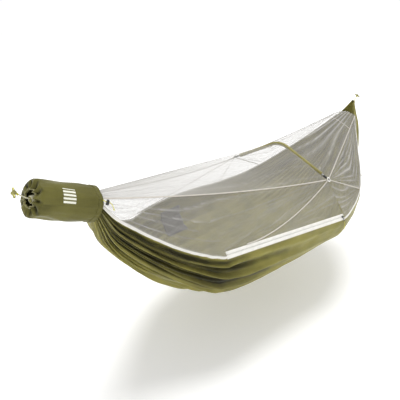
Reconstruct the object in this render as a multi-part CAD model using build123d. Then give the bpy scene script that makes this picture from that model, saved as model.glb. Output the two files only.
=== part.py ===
from build123d import *
import os
from math import atan2, cos, pi, radians, sin, tan

# Camping hammock with an insect net, hung between two toggles, with its stuff sack over one end.
# Millimetres. +X runs from the sack end to the head end, +Z is up, -Y is the zipped side.
# The origin is the middle of the straight line between the two hanging points.
# NEAR is the zipped side and FAR the other one.

# ---- driving dimensions ----
FABRIC = 1.6             # body cloth, modelled thickness
NET = 1.0                # mesh cloth, modelled thickness
GAP = 0.6                # clearance between bodies that move past each other
NEAR, FAR = -1, 1

# Section stations: x, half width at the rim, rim height, depth below the rim, side bulge
STATIONS = [
    (-1150, 9, -6, 15, 1.0),
    (-1050, 24, -40, 32, 1.0),
    (-955, 44, -78, 58, 1.0),
    (-925, 86, -130, 118, 1.05),
    (-860, 112, -190, 150, 1.08),
    (-790, 142, -247, 168, 1.09),
    (-680, 215, -320, 192, 1.1),
    (-550, 282, -372, 226, 1.12),
    (-410, 345, -386, 258, 1.13),
    (-120, 402, -405, 277, 1.1),
    (90, 412, -422, 255, 1.05),
    (250, 410, -435, 230, 1.03),
    (420, 385, -425, 212, 1.06),
    (580, 345, -390, 200, 1.1),
    (740, 268, -312, 190, 1.14),
    (870, 186, -228, 172, 1.2),
    (980, 120, -148, 132, 1.25),
    (1060, 72, -82, 92, 1.3),
    (1110, 36, -36, 56, 1.2),
    (1150, 9, 5, 15, 1.0),
]
BODY_START, BODY_END = -955, 1060
SIDE_SEAM = 60           # degrees of section angle where the side panels meet the centre panel
SECTION_STEP = 15        # degrees between section points
FULLNESS = 0.85          # power of the sine that gives the section its full, flat bottom

# Hanging points, cords and toggles
LEFT_TIP = Vector(-1160, 0, -10)
RIGHT_TIP = Vector(1164, 0, 0)
HANG_ANGLE = 33          # degrees above the horizontal that the suspension cords pull
CORD_R = 2.0
CORD_CLEARANCE = 1.3     # between the whipping's face and the cord's end
CORD_RISE = 4            # the cord leaves this far above the whipping's middle
TOGGLE_DISTANCE = 60     # gathered end to toggle centre
TOGGLE_LENGTH = 40
TOGGLE_R = 3.8
HUB_R = 7.0
HUB_LENGTH = 11
TOGGLE_ROLL = 50         # degrees that the bar leans round the cord
KNOT_R = 4.5
WHIPPING_R = 12.5
WHIPPING_LENGTH = 16
LEFT_WHIPPING_DROP, RIGHT_WHIPPING_DROP = 3, 2

# Spreader pole: two straight arms and one bend, in the plane x = POLE_X
POLE_X = 250
POLE_HALF = 289
POLE_FOOT_Z = -244
POLE_PEAK_Z = -101       # where the two arms' lines would meet
POLE_BEND = 110
POLE_R = 4.2
FERRULE_R = 5.6
FERRULE_HALF = 30
ELBOW_REACH = 45         # straight part of the elbow past its bend, across the pole's width
SLEEVE_R = 8.2
SLEEVE_ROOM = 0.4        # between ferrules and sleeve
SLEEVE_END = 30          # the sleeve stops this far inside the pole's feet
TIP_LENGTH = 22
TIP_WALL = 0.9
ARCH_SPANS = 12          # net spans from one pole foot to the other

# Net: its gathered ends, the seams' ends and the feet of the pole
FOOT_ROW = Vector(-955, 22, -52)      # half of the net's edge at the sack end
FOOT_ROW_DROP = 10
HEAD_ROW = Vector(1052, 62, -52)      # half of the net's edge at the head end
HEAD_ROW_DROP = 20
FOOT_SEAM_END = Vector(-955, 25, -66)
HEAD_SEAM_END = Vector(1052, 68, -70)
HEAD_CORNER_X = 580
PEG_OFFSET = Vector(0, 9, -7)         # seams meet this far outside and below the pole's foot
SEAM_ROOM = Vector(0, 0, 2.6)
SIDE_FOOT_LAST_X = -680  # side nets follow the rim up to this station, then the slanted seam
POLE_ROOM = 25
GUSSET_ROOM = 16
CORNER_ROOM = 12

# Zipper, laid in the plane of the net door
TAPE = 1.2
ZIP_START_X = -550
ZIP_END_X = 250
LOWER_TAPE = (1.6, 10.4)  # distances up from the rim
LOWER_COIL = (10.4, 12.4)
UPPER_COIL = (13.6, 15.6)
UPPER_TAPE = (15.6, 26.0)
STOP_BAND = (10.6, 13.2)
STOP_THICK = 2.4
STOP_LENGTH = 4
COIL_THICK = 2.2
COIL_END_GAP = 6
COIL_START = 8
TAPE_END_GAP = 2
SLIDER_LENGTH = 15
PARK = SLIDER_LENGTH + 3  # the slider parks clear of the door's coil at both ends
SLIDER_WEB = (12.7, 13.3)
SLIDER_PLATE = 1.0
SLIDER_BAND = (8.6, 10, 16, 17.4)
SLIDER_TAPER = 3
SLIDER_ROOM = 0.4
PULL_HEIGHT = 13
PULL_REACH = 3.0
PULL_R = 1.0
BLADE_R = 1.4
PULL_LENGTH = 24
PIN_HALF = 3
BAIL_INNER, BAIL_OUTER = 3.4, 5.4
BAIL_R = 1.6
BAIL_FOOT = 4.6
BAIL_LEG_R = 0.7
PULL_CORD_R = 1.1
PULL_CORD_GAP = 0.4
PULL_KNOT_R = 2.2
OUTER_CORD_STEPS = [(0, 0, 0), (-1, -4, -7), (1.5, -3.5, -19), (-1, -5, -30), (0.5, -4, -41)]
INNER_CORD_STEPS = [(0, 0, 0), (1.5, 0.5, -9), (-0.5, 1.5, -19), (1, 0.5, -32)]

# Door of the net
DOOR_FOOT = 26.0
SEAM_FOOT = 29.0
DOOR_GAP = 2
DOOR_TRIM = 34           # the door stops this far short of the pole's foot
DOOR_SEAM_START = 230    # along the zipper, where the curved seam leaves the zipper's tape
DOOR_SEAM_TRIM = 76      # the curved seam stops this far short of the pole's foot
DOOR_SEAM_FLAT = 150
DOOR_SEAM_POWER = 1.6
DOOR_SEAM_WIDTH = 6
DOOR_SEAM_SPANS = 6

# Bindings, seams, corner tabs and trim
BINDING = 9
BINDING_LIP = 0.6
BINDING_ROOM = 0.5
SEAM_R = 1.3
SEAM_END = 6
TAB_R = 14
TAB_THICK = 2.0
TAB_OFFSET = 2.5
TAB_FACING = Vector(0, 0.85, 0.52).normalized()
EYELET_R = 3.5
EYELET_WALL = 2.5
EYELET_LIP = 0.4
POCKET_X = [-310, -140]
POCKET_ANGLES = (135, 165)
POCKET_LIFT = 2.8
POCKET_THICK = 1.4
LOOP_X = 690
LOOP_OFFSET = Vector(0, -7.5, 3)
LOOP_SIZE = (9, 9, 14)
LOOP_HOLE = (6, 11)

# Stuff sack
SACK_R = 64
SACK_WALL = 1.6
SACK_LENGTH = 223
SACK_SLOPE = radians(21.7)  # downwards towards +X
MOUTH_R = 28             # puckered opening at the toggle end
MOUTH_HEM = 4
MOUTH_HEM_START = -7
MOUTH_HEM_LENGTH = 9
HEM_LENGTH = 22
HEM_LIP = 1.2
HEM_INSET = 0.6
LABEL_START = 70
LABEL_LENGTH = 46
LABEL_TURN = 46          # degrees of the sack's girth that the label covers
LABEL_MIDDLE = 28        # degrees above the horizontal on the zipped side
LABEL_THICK = 0.6

# Drawcord and cord lock
DRAWCORD_R = 1.2
DRAWCORD = [(-946, -59.8, -63), (-942, -66, -71), (-927, -72, -75), (-920, -75, -87), (-917.5, -77, -101)]
DRAWCORD_KNOT_R = 2.6
LOCK_R = 5.5
LOCK_LENGTH = 14
LOCK_WALL = 1.5
LOCK_CORD_HEIGHT = 9     # of the cord above the lock's closed end
CORD_HOLE_R = 1.7
CORD_HOLE_HALF = 8
BUTTON_R = 4.0
BUTTON_ROOM = 0.15
BUTTON_PROUD = 3.5
BUTTON_TRAVEL = 2.5
BUTTON_SLOT_CUTS = 3
SPRING_LENGTH = 2.9
SPRING_R = 3.4
SPRING_BORE = 2.4

os.makedirs("parts", exist_ok=True)


# ---- helpers ----
def save(name, *shapes):
    """Write one sub-part; several separate solids share its file."""
    solids = [solid for shape in shapes for solid in shape.solids()]
    export_step(solids[0] if len(solids) == 1 else Compound(children=solids), f"parts/{name}.step")


def mix(a, b, t):
    return a + (b - a) * t


def on_line(a, b, x):
    """Point with the given x on the line through a and b."""
    return mix(a, b, (x - a.X) / (b.X - a.X))


def mirrored(point, side):
    """Point given for the far side, moved to the side asked for."""
    return Vector(point.X, side * point.Y, point.Z)


def polygon(points):
    return make_face(Polyline(*points, close=True))


def strip(outer, inner):
    """Closed planar face between two point rows."""
    return polygon([*outer, *reversed(inner)])


def shell(sections):
    """Ruled solid through closed sections that have the same number of points."""
    return loft(sections, ruled=True)


def tube(start, end, radius, bore=0.0):
    """Round bar, or tube, between two points."""
    axis = end - start
    plane = Plane(origin=start, z_dir=axis)
    solid = Solid.make_cylinder(radius, axis.length, plane)
    return solid - Solid.make_cylinder(bore, axis.length, plane) if bore else solid


def ball(centre, radius):
    return Pos(*centre) * Sphere(radius)


def swept(path, radius):
    return sweep(Plane(origin=path @ 0, z_dir=path % 0) * Circle(radius), path=path)


def cord_tube(points, radius):
    """Round cord along straight runs joined by arcs as large as the runs allow."""
    radii = []
    for a, b, c in zip(points, points[1:], points[2:]):
        turn = radians((b - a).get_angle(c - b))
        radii.append(0.45 * min((b - a).length, (c - b).length) / tan(turn / 2))
    path = FilletPolyline(*points, radius=radii)
    cord = swept(path, radius)
    volume_ratio = cord.volume / (pi * radius ** 2 * path.length)
    print("cord radii", [round(r, 1) for r in radii], "length", round(path.length, 1),
          "volume ratio", round(volume_ratio, 3))
    return cord


# ---- shape of the hanging cloth ----
def between_stations(x, value):
    """Value worked out at the two stations either side of x and mixed in a straight line."""
    for low, high in zip(STATIONS, STATIONS[1:]):
        if x <= high[0]:
            return mix(value(low), value(high), (x - low[0]) / (high[0] - low[0]))
    return value(STATIONS[-1])


def rim(x, side):
    """Rim point at x; the zipped side is straight along the zipper."""
    if side == NEAR and ZIP_START_X < x < ZIP_END_X:
        return on_line(rim(ZIP_START_X, NEAR), rim(ZIP_END_X, NEAR), x)
    return between_stations(x, lambda s: Vector(s[0], side * s[1], s[2]))


def above_rim(x, side):
    return rim(x, side) + Vector(0, 0, BINDING + BINDING_ROOM)


def section_point(x, angle):
    """Point of the cloth's section; angle 0 is the zipped rim and 180 the far rim."""
    turn = radians(angle)

    def on_station(station):
        near, far = rim(station[0], NEAR), rim(station[0], FAR)
        bulge = 1 + (station[4] - 1) * sin(turn)
        y = (near.Y + far.Y) / 2 - (far.Y - near.Y) / 2 * cos(turn) * bulge
        return Vector(station[0], y, mix(near.Z, far.Z, angle / 180) - station[3] * sin(turn) ** FULLNESS)

    return between_stations(x, on_station)


def inward(x, angle):
    """Unit normal of the section at an angle, towards the inside."""
    if angle in (0, 180):
        return Vector(0, 1 if angle == 0 else -1, 0)
    step = 4
    tangent = section_point(x, min(angle + step, 180)) - section_point(x, max(angle - step, 0))
    return Vector(0, -tangent.Z, tangent.Y).normalized()


def station_xs(start, end):
    return [s[0] for s in STATIONS if start <= s[0] <= end]


def cloth_panel(xs, low_angle, high_angle, lift=0.0, thick=FABRIC):
    """Thin panel of the hanging cloth between two section angles, raised off the skin by lift."""
    count = round((high_angle - low_angle) / SECTION_STEP)
    angles = [mix(low_angle, high_angle, k / count) for k in range(count + 1)]
    faces = []
    for x in xs:
        outer = [section_point(x, a) + inward(x, a) * lift for a in angles]
        inner = [section_point(x, a) + inward(x, a) * (lift + thick) for a in angles]
        faces.append(strip(outer, inner))
    return shell(faces)


def gather(xs):
    """Solid bundle of the pleated cloth."""
    angles = range(0, 181, SECTION_STEP)
    return shell([polygon([section_point(x, a) for a in angles]) for x in xs])


# ---- body: three sewn panels, the two gathered ends and the pocket ----
def make_body():
    xs = station_xs(BODY_START, BODY_END)
    save("body_near_panel", cloth_panel(xs, 0, SIDE_SEAM))
    save("body_centre_panel", cloth_panel(xs, SIDE_SEAM, 180 - SIDE_SEAM))
    save("body_far_panel", cloth_panel(xs, 180 - SIDE_SEAM, 180))
    save("left_gather", gather(station_xs(STATIONS[0][0], BODY_START)))
    save("right_gather", gather(station_xs(BODY_END, STATIONS[-1][0])))
    save("storage_pocket", cloth_panel(POCKET_X, *POCKET_ANGLES, POCKET_LIFT, POCKET_THICK))


# ---- suspension: whipping, cord, knot and toggle at each end ----
def suspension(name, tip, side, end_x, drop):
    hang = radians(HANG_ANGLE)
    pull = Vector(side * cos(hang), 0, sin(hang))
    down = Vector(side * sin(hang), 0, -cos(hang))
    roll = radians(TOGGLE_ROLL)
    bar = down * cos(roll) + Vector(0, -1, 0) * sin(roll)
    cap = Vector(end_x, 0, tip.Z - drop)
    save(f"{name}_whipping", tube(cap, cap + Vector(side * WHIPPING_LENGTH, 0, 0), WHIPPING_R))
    start = cap + Vector(side * (WHIPPING_LENGTH + CORD_CLEARANCE), 0, CORD_RISE)
    centre = tip + pull * TOGGLE_DISTANCE
    line = (centre - start).normalized()
    knot = centre - line * (HUB_R + GAP + KNOT_R)
    save(f"{name}_knot", ball(knot, KNOT_R))
    save(f"{name}_suspension_cord", tube(start, knot - line * KNOT_R, CORD_R))
    half = bar * (TOGGLE_LENGTH / 2 - TOGGLE_R)
    tilt_axis = line.cross(bar).normalized()
    hub_half = tilt_axis * (HUB_LENGTH / 2)
    toggle = tube(centre - half, centre + half, TOGGLE_R) + tube(centre - hub_half, centre + hub_half, HUB_R)
    save(f"{name}_toggle", toggle + ball(centre - half, TOGGLE_R) + ball(centre + half, TOGGLE_R))


def make_suspensions():
    suspension("left", LEFT_TIP, -1, STATIONS[0][0], LEFT_WHIPPING_DROP)
    suspension("right", RIGHT_TIP, 1, STATIONS[-1][0], RIGHT_WHIPPING_DROP)


# ---- spreader pole, its sleeve and its feet ----
POLE_SLOPE = atan2(POLE_PEAK_Z - POLE_FOOT_Z, POLE_HALF)
BEND_Y = POLE_BEND * sin(POLE_SLOPE)
JOINT_Y = BEND_Y + ELBOW_REACH


def pole_point(y):
    """Centre line of the pole at a distance y from the middle plane."""
    if abs(y) < BEND_Y:
        arc_centre_z = POLE_PEAK_Z - POLE_BEND / cos(POLE_SLOPE)
        return Vector(POLE_X, y, arc_centre_z + (POLE_BEND ** 2 - y ** 2) ** 0.5)
    return Vector(POLE_X, y, POLE_PEAK_Z - abs(y) * tan(POLE_SLOPE))


def pole_path(half):
    return FilletPolyline(pole_point(-half), Vector(POLE_X, 0, POLE_PEAK_Z), pole_point(half), radius=POLE_BEND)


def make_pole():
    save("pole_elbow", swept(pole_path(JOINT_Y), POLE_R))
    ferrules = []
    tips = []
    for label, side in (("near", NEAR), ("far", FAR)):
        foot = pole_point(side * POLE_HALF)
        joint = pole_point(side * JOINT_Y)
        up = (joint - foot).normalized()
        save(f"pole_{label}_arm", tube(foot + up * TIP_LENGTH, joint, POLE_R))
        ferrules.append(tube(joint - up * FERRULE_HALF, joint + up * FERRULE_HALF, FERRULE_R, POLE_R))
        tips.append(tube(foot, foot + up * TIP_LENGTH, POLE_R + TIP_WALL))
    save("pole_ferrules", *ferrules)
    save("pole_tips", *tips)
    sleeve = pole_path(POLE_HALF - SLEEVE_END)
    save("pole_sleeve", swept(sleeve, SLEEVE_R) - swept(sleeve, FERRULE_R + SLEEVE_ROOM))


# ---- net: its corners, and the plane of the zipped door ----
PEG = {side: pole_point(side * POLE_HALF) + mirrored(PEG_OFFSET, side) for side in (NEAR, FAR)}
FOOT_SEAM = {side: mirrored(FOOT_SEAM_END, side) for side in (NEAR, FAR)}
HEAD_SEAM = {side: mirrored(HEAD_SEAM_END, side) for side in (NEAR, FAR)}
ZIP_START = rim(ZIP_START_X, NEAR)
ZIP_END = rim(ZIP_END_X, NEAR)
ZIP_LENGTH = (ZIP_END - ZIP_START).length
ALONG = (ZIP_END - ZIP_START).normalized()
TO_PEG = PEG[NEAR] - ZIP_START
PEG_S = TO_PEG.dot(ALONG)
DOOR_UP = (TO_PEG - ALONG * PEG_S).normalized()
PEG_U = TO_PEG.dot(DOOR_UP)
DOOR_OUT = ALONG.cross(DOOR_UP)
COIL_STOP = ZIP_LENGTH - COIL_END_GAP


def door_point(s, u, n=0.0):
    """Point in the door's plane: s along the zipper, u up from the rim, n outwards."""
    return ZIP_START + ALONG * s + DOOR_UP * u + DOOR_OUT * n


DOOR_CORNER = door_point(0, SEAM_FOOT)
CORNER = {NEAR: DOOR_CORNER, FAR: Vector(DOOR_CORNER.X, -DOOR_CORNER.Y, DOOR_CORNER.Z)}


def plate(points, thick, lift=0.0):
    """Flat plate in the door's plane from (s, u) pairs, its middle raised outwards by lift."""
    face = polygon([door_point(s, u, lift - thick / 2) for s, u in points])
    return extrude(face, amount=thick, dir=DOOR_OUT)


def net_strip(tops, feet):
    """Thin net panel between an upper and a lower line of points with matching x."""
    faces = []
    for top, foot in zip(tops, feet):
        run = (foot - top).normalized()
        offset = Vector(0, -run.Z, run.Y) * (NET / 2)
        faces.append(polygon([top - offset, foot - offset, foot + offset, top + offset]))
    return shell(faces)


def arch_sheet(row_end, row_drop, pole_side):
    """Net from a small gathered row of points to one side of the pole."""
    shares = [2 * k / ARCH_SPANS - 1 for k in range(ARCH_SPANS + 1)]
    row = [Vector(row_end.X, row_end.Y * t, row_end.Z - row_drop * t ** 2) for t in shares]
    arch = [pole_point(POLE_HALF * t) + Vector(pole_side * (SLEEVE_R + NET), 0, 0) for t in shares]
    down = Vector(0, 0, -NET)
    rows = [row, arch] if pole_side < 0 else [arch, row]
    return shell([strip(points, [p + down for p in points]) for points in rows])


def side_foot(side):
    """Net between the foot seam, the pole's foot and the rim's foot corner."""
    rim_xs = station_xs(BODY_START, SIDE_FOOT_LAST_X)
    seam_xs = [CORNER[side].X, -300, 0, POLE_X - POLE_ROOM]
    tops = [on_line(FOOT_SEAM[side], PEG[side], x) - SEAM_ROOM for x in rim_xs + seam_xs]
    feet = [above_rim(x, side) for x in rim_xs]
    feet += [on_line(CORNER[side], PEG[side], x) + SEAM_ROOM for x in seam_xs]
    return net_strip(tops, feet)


def side_head(side):
    """Net between the pole's foot, the rim's head corner and the head seam."""
    corner = above_rim(HEAD_CORNER_X, side)
    seam_xs = [POLE_X + POLE_ROOM, 420]
    rim_xs = station_xs(HEAD_CORNER_X, HEAD_SEAM_END.X)
    last_x = HEAD_SEAM_END.X - SEAM_END
    tops = [on_line(PEG[side], HEAD_SEAM[side], x) - SEAM_ROOM for x in [*seam_xs, *rim_xs, last_x]]
    feet = [on_line(PEG[side], corner, x) + SEAM_ROOM for x in seam_xs]
    feet += [above_rim(x, side) + SEAM_ROOM for x in rim_xs]
    feet.append(tops[-1] + Vector(0, 0, -4))
    return net_strip(tops, feet)


def far_middle():
    """Net between the far rim and the seams that run down from the far pole foot."""
    head_corner = above_rim(HEAD_CORNER_X, FAR)
    xs = [CORNER[FAR].X + CORNER_ROOM]
    xs += station_xs(ZIP_START_X + 1, HEAD_CORNER_X - 1)
    xs.append(HEAD_CORNER_X - CORNER_ROOM)
    tops = [on_line(CORNER[FAR], PEG[FAR], x) for x in xs if x <= POLE_X]
    tops += [on_line(PEG[FAR], head_corner, x) for x in xs if x > POLE_X]
    return net_strip([p - SEAM_ROOM for p in tops], [above_rim(x, FAR) for x in xs])


def near_gusset():
    """Net between the door, the zipped rim and the seam to the head corner."""
    corner = above_rim(HEAD_CORNER_X, NEAR)
    xs = (POLE_X + GUSSET_ROOM, 420, HEAD_CORNER_X - CORNER_ROOM)
    tops = [on_line(PEG[NEAR], corner, x) - SEAM_ROOM for x in xs]
    return net_strip(tops, [above_rim(x, NEAR) for x in xs])


def door_seam():
    """Curved seam tape on the door's outer face, from the zipper's tape up towards the pole's foot."""
    top = PEG_S - DOOR_SEAM_TRIM
    rise = PEG_U - DOOR_FOOT
    middle = []
    for k in range(DOOR_SEAM_SPANS + 1):
        s = mix(DOOR_SEAM_START, top, k / DOOR_SEAM_SPANS)
        share = (s - DOOR_SEAM_FLAT) / (PEG_S - DOOR_SEAM_FLAT)
        middle.append((s, DOOR_FOOT + DOOR_SEAM_WIDTH + rise * share ** DOOR_SEAM_POWER))
    half = DOOR_SEAM_WIDTH / 2
    outline = [(s, u - half) for s, u in middle] + [(s, u + half) for s, u in reversed(middle)]
    return plate(outline, TAPE, (NET + TAPE) / 2)


def make_net():
    save("net_top_foot", arch_sheet(FOOT_ROW, FOOT_ROW_DROP, -1))
    save("net_top_head", arch_sheet(HEAD_ROW, HEAD_ROW_DROP, 1))
    for label, side in (("near", NEAR), ("far", FAR)):
        save(f"net_{label}_foot", side_foot(side))
        save(f"net_{label}_head", side_head(side))
    save("net_far_middle", far_middle())
    save("net_near_gusset", near_gusset())
    slope = (PEG_U - SEAM_FOOT) / PEG_S
    top = PEG_S - DOOR_TRIM
    save("net_door", plate([
        (DOOR_GAP, DOOR_FOOT),
        (DOOR_GAP, SEAM_FOOT + slope * DOOR_GAP - DOOR_GAP),
        (top, SEAM_FOOT + slope * top - DOOR_GAP),
        (ZIP_LENGTH - DOOR_GAP, DOOR_FOOT),
    ], NET))
    save("door_seam_tape", door_seam())


# ---- zipper ----
def zip_strip(band, thick, start, end):
    return plate([(start, band[0]), (end, band[0]), (end, band[1]), (start, band[1])], thick)


def zipper_pull(label, face_side, hang, steps, slider_middle, plate_out):
    """Swinging pull with its pin on one face of the slider, and the cord tied to it; returns its bail."""
    pivot = door_point(slider_middle, PULL_HEIGHT, face_side * (plate_out + PULL_REACH))
    blade_end = pivot + hang * PULL_LENGTH
    pin = tube(pivot - ALONG * PIN_HALF, pivot + ALONG * PIN_HALF, PULL_R)
    save(f"zipper_{label}_pull", pin + tube(pivot + hang * (PULL_R / 2), blade_end, BLADE_R))
    bail = tube(pivot - ALONG * BAIL_OUTER, pivot - ALONG * BAIL_INNER, BAIL_R)
    bail += tube(pivot + ALONG * BAIL_INNER, pivot + ALONG * BAIL_OUTER, BAIL_R)
    for reach in (-BAIL_FOOT, BAIL_FOOT):
        foot = door_point(slider_middle + reach, PULL_HEIGHT, face_side * (plate_out + SLIDER_PLATE))
        bail += tube(foot, pivot + ALONG * reach, BAIL_LEG_R)
    points = [blade_end + hang * PULL_CORD_GAP + Vector(*step) for step in steps]
    save(f"{label}_pull_cord", cord_tube(points, PULL_CORD_R))
    save(f"{label}_pull_knot", ball(points[-1] - Vector(0, 0, PULL_KNOT_R), PULL_KNOT_R))
    return bail


def make_zipper():
    tape_end = ZIP_LENGTH - TAPE_END_GAP
    door_start, door_end = COIL_START + PARK, COIL_STOP - PARK
    save("zipper_lower_tape", zip_strip(LOWER_TAPE, TAPE, TAPE_END_GAP, tape_end))
    save("zipper_lower_coil", zip_strip(LOWER_COIL, COIL_THICK, COIL_START, COIL_STOP))
    save("zipper_upper_tape", zip_strip(UPPER_TAPE, TAPE, door_start, door_end))
    save("zipper_upper_coil", zip_strip(UPPER_COIL, COIL_THICK, door_start, door_end))
    first_stop = zip_strip(STOP_BAND, STOP_THICK, COIL_START - STOP_LENGTH - 1, COIL_START - 1)
    last_stop = zip_strip(STOP_BAND, STOP_THICK, COIL_STOP + 1, COIL_STOP + STOP_LENGTH)
    save("zipper_stops", first_stop, last_stop)

    start = COIL_STOP - SLIDER_LENGTH - 1
    end = start + SLIDER_LENGTH
    plate_out = COIL_THICK / 2 + SLIDER_ROOM
    low, low_corner, high_corner, high = SLIDER_BAND
    outline = [(start, low_corner), (start + SLIDER_TAPER, low), (end - SLIDER_TAPER, low), (end, low_corner),
               (end, high_corner), (end - SLIDER_TAPER, high), (start + SLIDER_TAPER, high), (start, high_corner)]
    slider = zip_strip(SLIDER_WEB, 2 * (plate_out + SLIDER_PLATE), start, end)
    for face_side in (-1, 1):
        slider += plate(outline, SLIDER_PLATE, face_side * (plate_out + SLIDER_PLATE / 2))
    save("zipper_slider", slider)

    middle = start + SLIDER_LENGTH / 2
    outer_bail = zipper_pull("outer", 1, DOOR_UP * -1, OUTER_CORD_STEPS, middle, plate_out)
    inner_bail = zipper_pull("inner", -1, Vector(0, 0, -1), INNER_CORD_STEPS, middle, plate_out)
    save("slider_bails", outer_bail, inner_bail)


# ---- bindings, seam tapes, corner tabs and the rim loop ----
def binding(xs, side):
    """Tape folded over the rim."""
    faces = []
    for x in xs:
        outer = rim(x, side) + Vector(0, side * BINDING_LIP, 0)
        inner = rim(x, side) - Vector(0, side * (FABRIC + BINDING_LIP), 0)
        up = Vector(0, 0, BINDING)
        faces.append(polygon([outer, inner, inner + up, outer + up]))
    return shell(faces)


def make_trim():
    save("near_rim_binding", binding(station_xs(BODY_START, ZIP_START_X), NEAR),
         binding(station_xs(ZIP_END_X, BODY_END), NEAR))
    save("far_rim_binding", binding(station_xs(BODY_START, BODY_END), FAR))
    tabs = []
    eyelets = []
    for label, side in (("near", NEAR), ("far", FAR)):
        ends = [FOOT_SEAM[side], HEAD_SEAM[side], above_rim(HEAD_CORNER_X, side)]
        if side == FAR:
            ends.append(CORNER[FAR])
        seams = []
        for end in ends:
            way = (end - PEG[side]).normalized()
            seams.append(tube(PEG[side] + way * TAB_R, end - way * SEAM_END, SEAM_R))
        save(f"net_{label}_seam_tapes", *seams)
        facing = mirrored(TAB_FACING, side)
        back = PEG[side] + facing * TAB_OFFSET
        front = back + facing * TAB_THICK
        lip = facing * EYELET_LIP
        tabs.append(tube(back, front, TAB_R, EYELET_R + EYELET_WALL))
        eyelets.append(tube(back - lip, front + lip, EYELET_R + EYELET_WALL, EYELET_R))
    save("corner_tabs", *tabs)
    save("corner_eyelets", *eyelets)
    loop_place = Pos(*(rim(LOOP_X, NEAR) + LOOP_OFFSET))
    width, hole = LOOP_SIZE[0], LOOP_HOLE
    save("rim_loop", loop_place * Box(*LOOP_SIZE) - loop_place * Box(2 * width, *hole))


# ---- stuff sack ----
SACK_WAY = Vector(cos(SACK_SLOPE), 0, -sin(SACK_SLOPE))
SACK_UP = Vector(sin(SACK_SLOPE), 0, cos(SACK_SLOPE))


def sack_ring(outer, inner, start, length):
    """Tube on the sack's axis, from start along the axis."""
    near_end = LEFT_TIP + SACK_WAY * start
    return tube(near_end, near_end + SACK_WAY * length, outer, inner)


def sack_point(s, radius, angle):
    """Point at s along the sack's axis, at an angle up from the zipped side."""
    spoke = Vector(0, -1, 0) * cos(radians(angle)) + SACK_UP * sin(radians(angle))
    return LEFT_TIP + SACK_WAY * s + spoke * radius


def make_sack():
    cloth_length = SACK_LENGTH - HEM_LENGTH
    save("sack_tube", sack_ring(SACK_R, SACK_R - SACK_WALL, 0, cloth_length))
    save("sack_open_hem", sack_ring(SACK_R + HEM_LIP, SACK_R - SACK_WALL - HEM_INSET, cloth_length, HEM_LENGTH))
    save("sack_pucker", sack_ring(SACK_R, MOUTH_R + MOUTH_HEM, -SACK_WALL, SACK_WALL))
    save("sack_pucker_hem", sack_ring(MOUTH_R + MOUTH_HEM, MOUTH_R, MOUTH_HEM_START, MOUTH_HEM_LENGTH))
    top = LABEL_MIDDLE + LABEL_TURN / 2
    label_end = LABEL_START + LABEL_LENGTH
    outer_r = SACK_R + LABEL_THICK
    edge = polygon([sack_point(LABEL_START, SACK_R, top), sack_point(label_end, SACK_R, top),
                    sack_point(label_end, outer_r, top), sack_point(LABEL_START, outer_r, top)])
    save("sack_label", revolve(edge, axis=Axis(LEFT_TIP, SACK_WAY), revolution_arc=LABEL_TURN))


# ---- drawcord with its cord lock ----
def make_drawcord():
    route = [Vector(*point) for point in DRAWCORD]
    save("sack_drawcord", cord_tube(route, DRAWCORD_R))
    save("sack_drawcord_knot", ball(route[-1] - Vector(0, 0, DRAWCORD_KNOT_R), DRAWCORD_KNOT_R))

    run = (route[2] - route[1]).normalized()
    cord_middle = mix(route[1], route[2], 0.5)
    axis = (Vector(0, 0, 1) - run * run.Z).normalized()

    def lock_at(height):
        """Point on the lock's axis, height above its closed end."""
        return cord_middle + axis * (height - LOCK_CORD_HEIGHT)

    cord_hole = tube(cord_middle - run * CORD_HOLE_HALF, cord_middle + run * CORD_HOLE_HALF, CORD_HOLE_R)
    well = tube(lock_at(LOCK_WALL), lock_at(LOCK_LENGTH), BUTTON_R + BUTTON_ROOM)
    save("cord_lock_barrel", tube(lock_at(0), lock_at(LOCK_LENGTH), LOCK_R) - well - cord_hole)
    spring_top = lock_at(LOCK_WALL + SPRING_LENGTH)
    save("cord_lock_spring", tube(lock_at(LOCK_WALL), spring_top, SPRING_R, SPRING_BORE))
    button = tube(spring_top, lock_at(LOCK_LENGTH + BUTTON_PROUD), BUTTON_R) - cord_hole
    for k in range(BUTTON_SLOT_CUTS):
        button -= Pos(*(axis * (BUTTON_TRAVEL * (k + 1) / BUTTON_SLOT_CUTS))) * cord_hole
    save("cord_lock_button", button)


make_body()
make_suspensions()
make_pole()
make_net()
make_zipper()
make_trim()
make_sack()
make_drawcord()
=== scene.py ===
from math import atan2, cos, exp, pi, radians, sin, sqrt, tan, tau

import bpy
from mathutils import Matrix, Vector, noise


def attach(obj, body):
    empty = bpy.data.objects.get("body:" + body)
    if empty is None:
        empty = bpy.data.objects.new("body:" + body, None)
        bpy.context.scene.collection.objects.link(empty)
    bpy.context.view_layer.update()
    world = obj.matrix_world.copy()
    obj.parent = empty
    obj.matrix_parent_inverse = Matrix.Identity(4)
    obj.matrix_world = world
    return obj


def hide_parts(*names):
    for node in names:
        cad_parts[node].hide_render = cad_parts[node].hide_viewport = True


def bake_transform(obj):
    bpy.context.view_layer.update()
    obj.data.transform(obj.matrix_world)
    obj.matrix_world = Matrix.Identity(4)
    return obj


# Looks of the camping hammock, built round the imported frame. Metres, in the CAD's own frame:
# +X towards the head end, +Z up, -Y the zipped side. NEAR is the zipped side and FAR the other one.

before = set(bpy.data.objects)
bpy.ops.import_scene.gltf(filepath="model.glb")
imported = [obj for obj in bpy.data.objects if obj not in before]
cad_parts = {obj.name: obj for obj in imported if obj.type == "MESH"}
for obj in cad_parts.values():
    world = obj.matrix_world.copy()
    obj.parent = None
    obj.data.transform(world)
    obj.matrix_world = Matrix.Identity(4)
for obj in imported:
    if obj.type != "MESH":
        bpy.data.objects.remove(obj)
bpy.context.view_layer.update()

NEAR, FAR = -1, 1
UP = Vector((0, 0, 1))
DOWN = -UP

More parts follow.
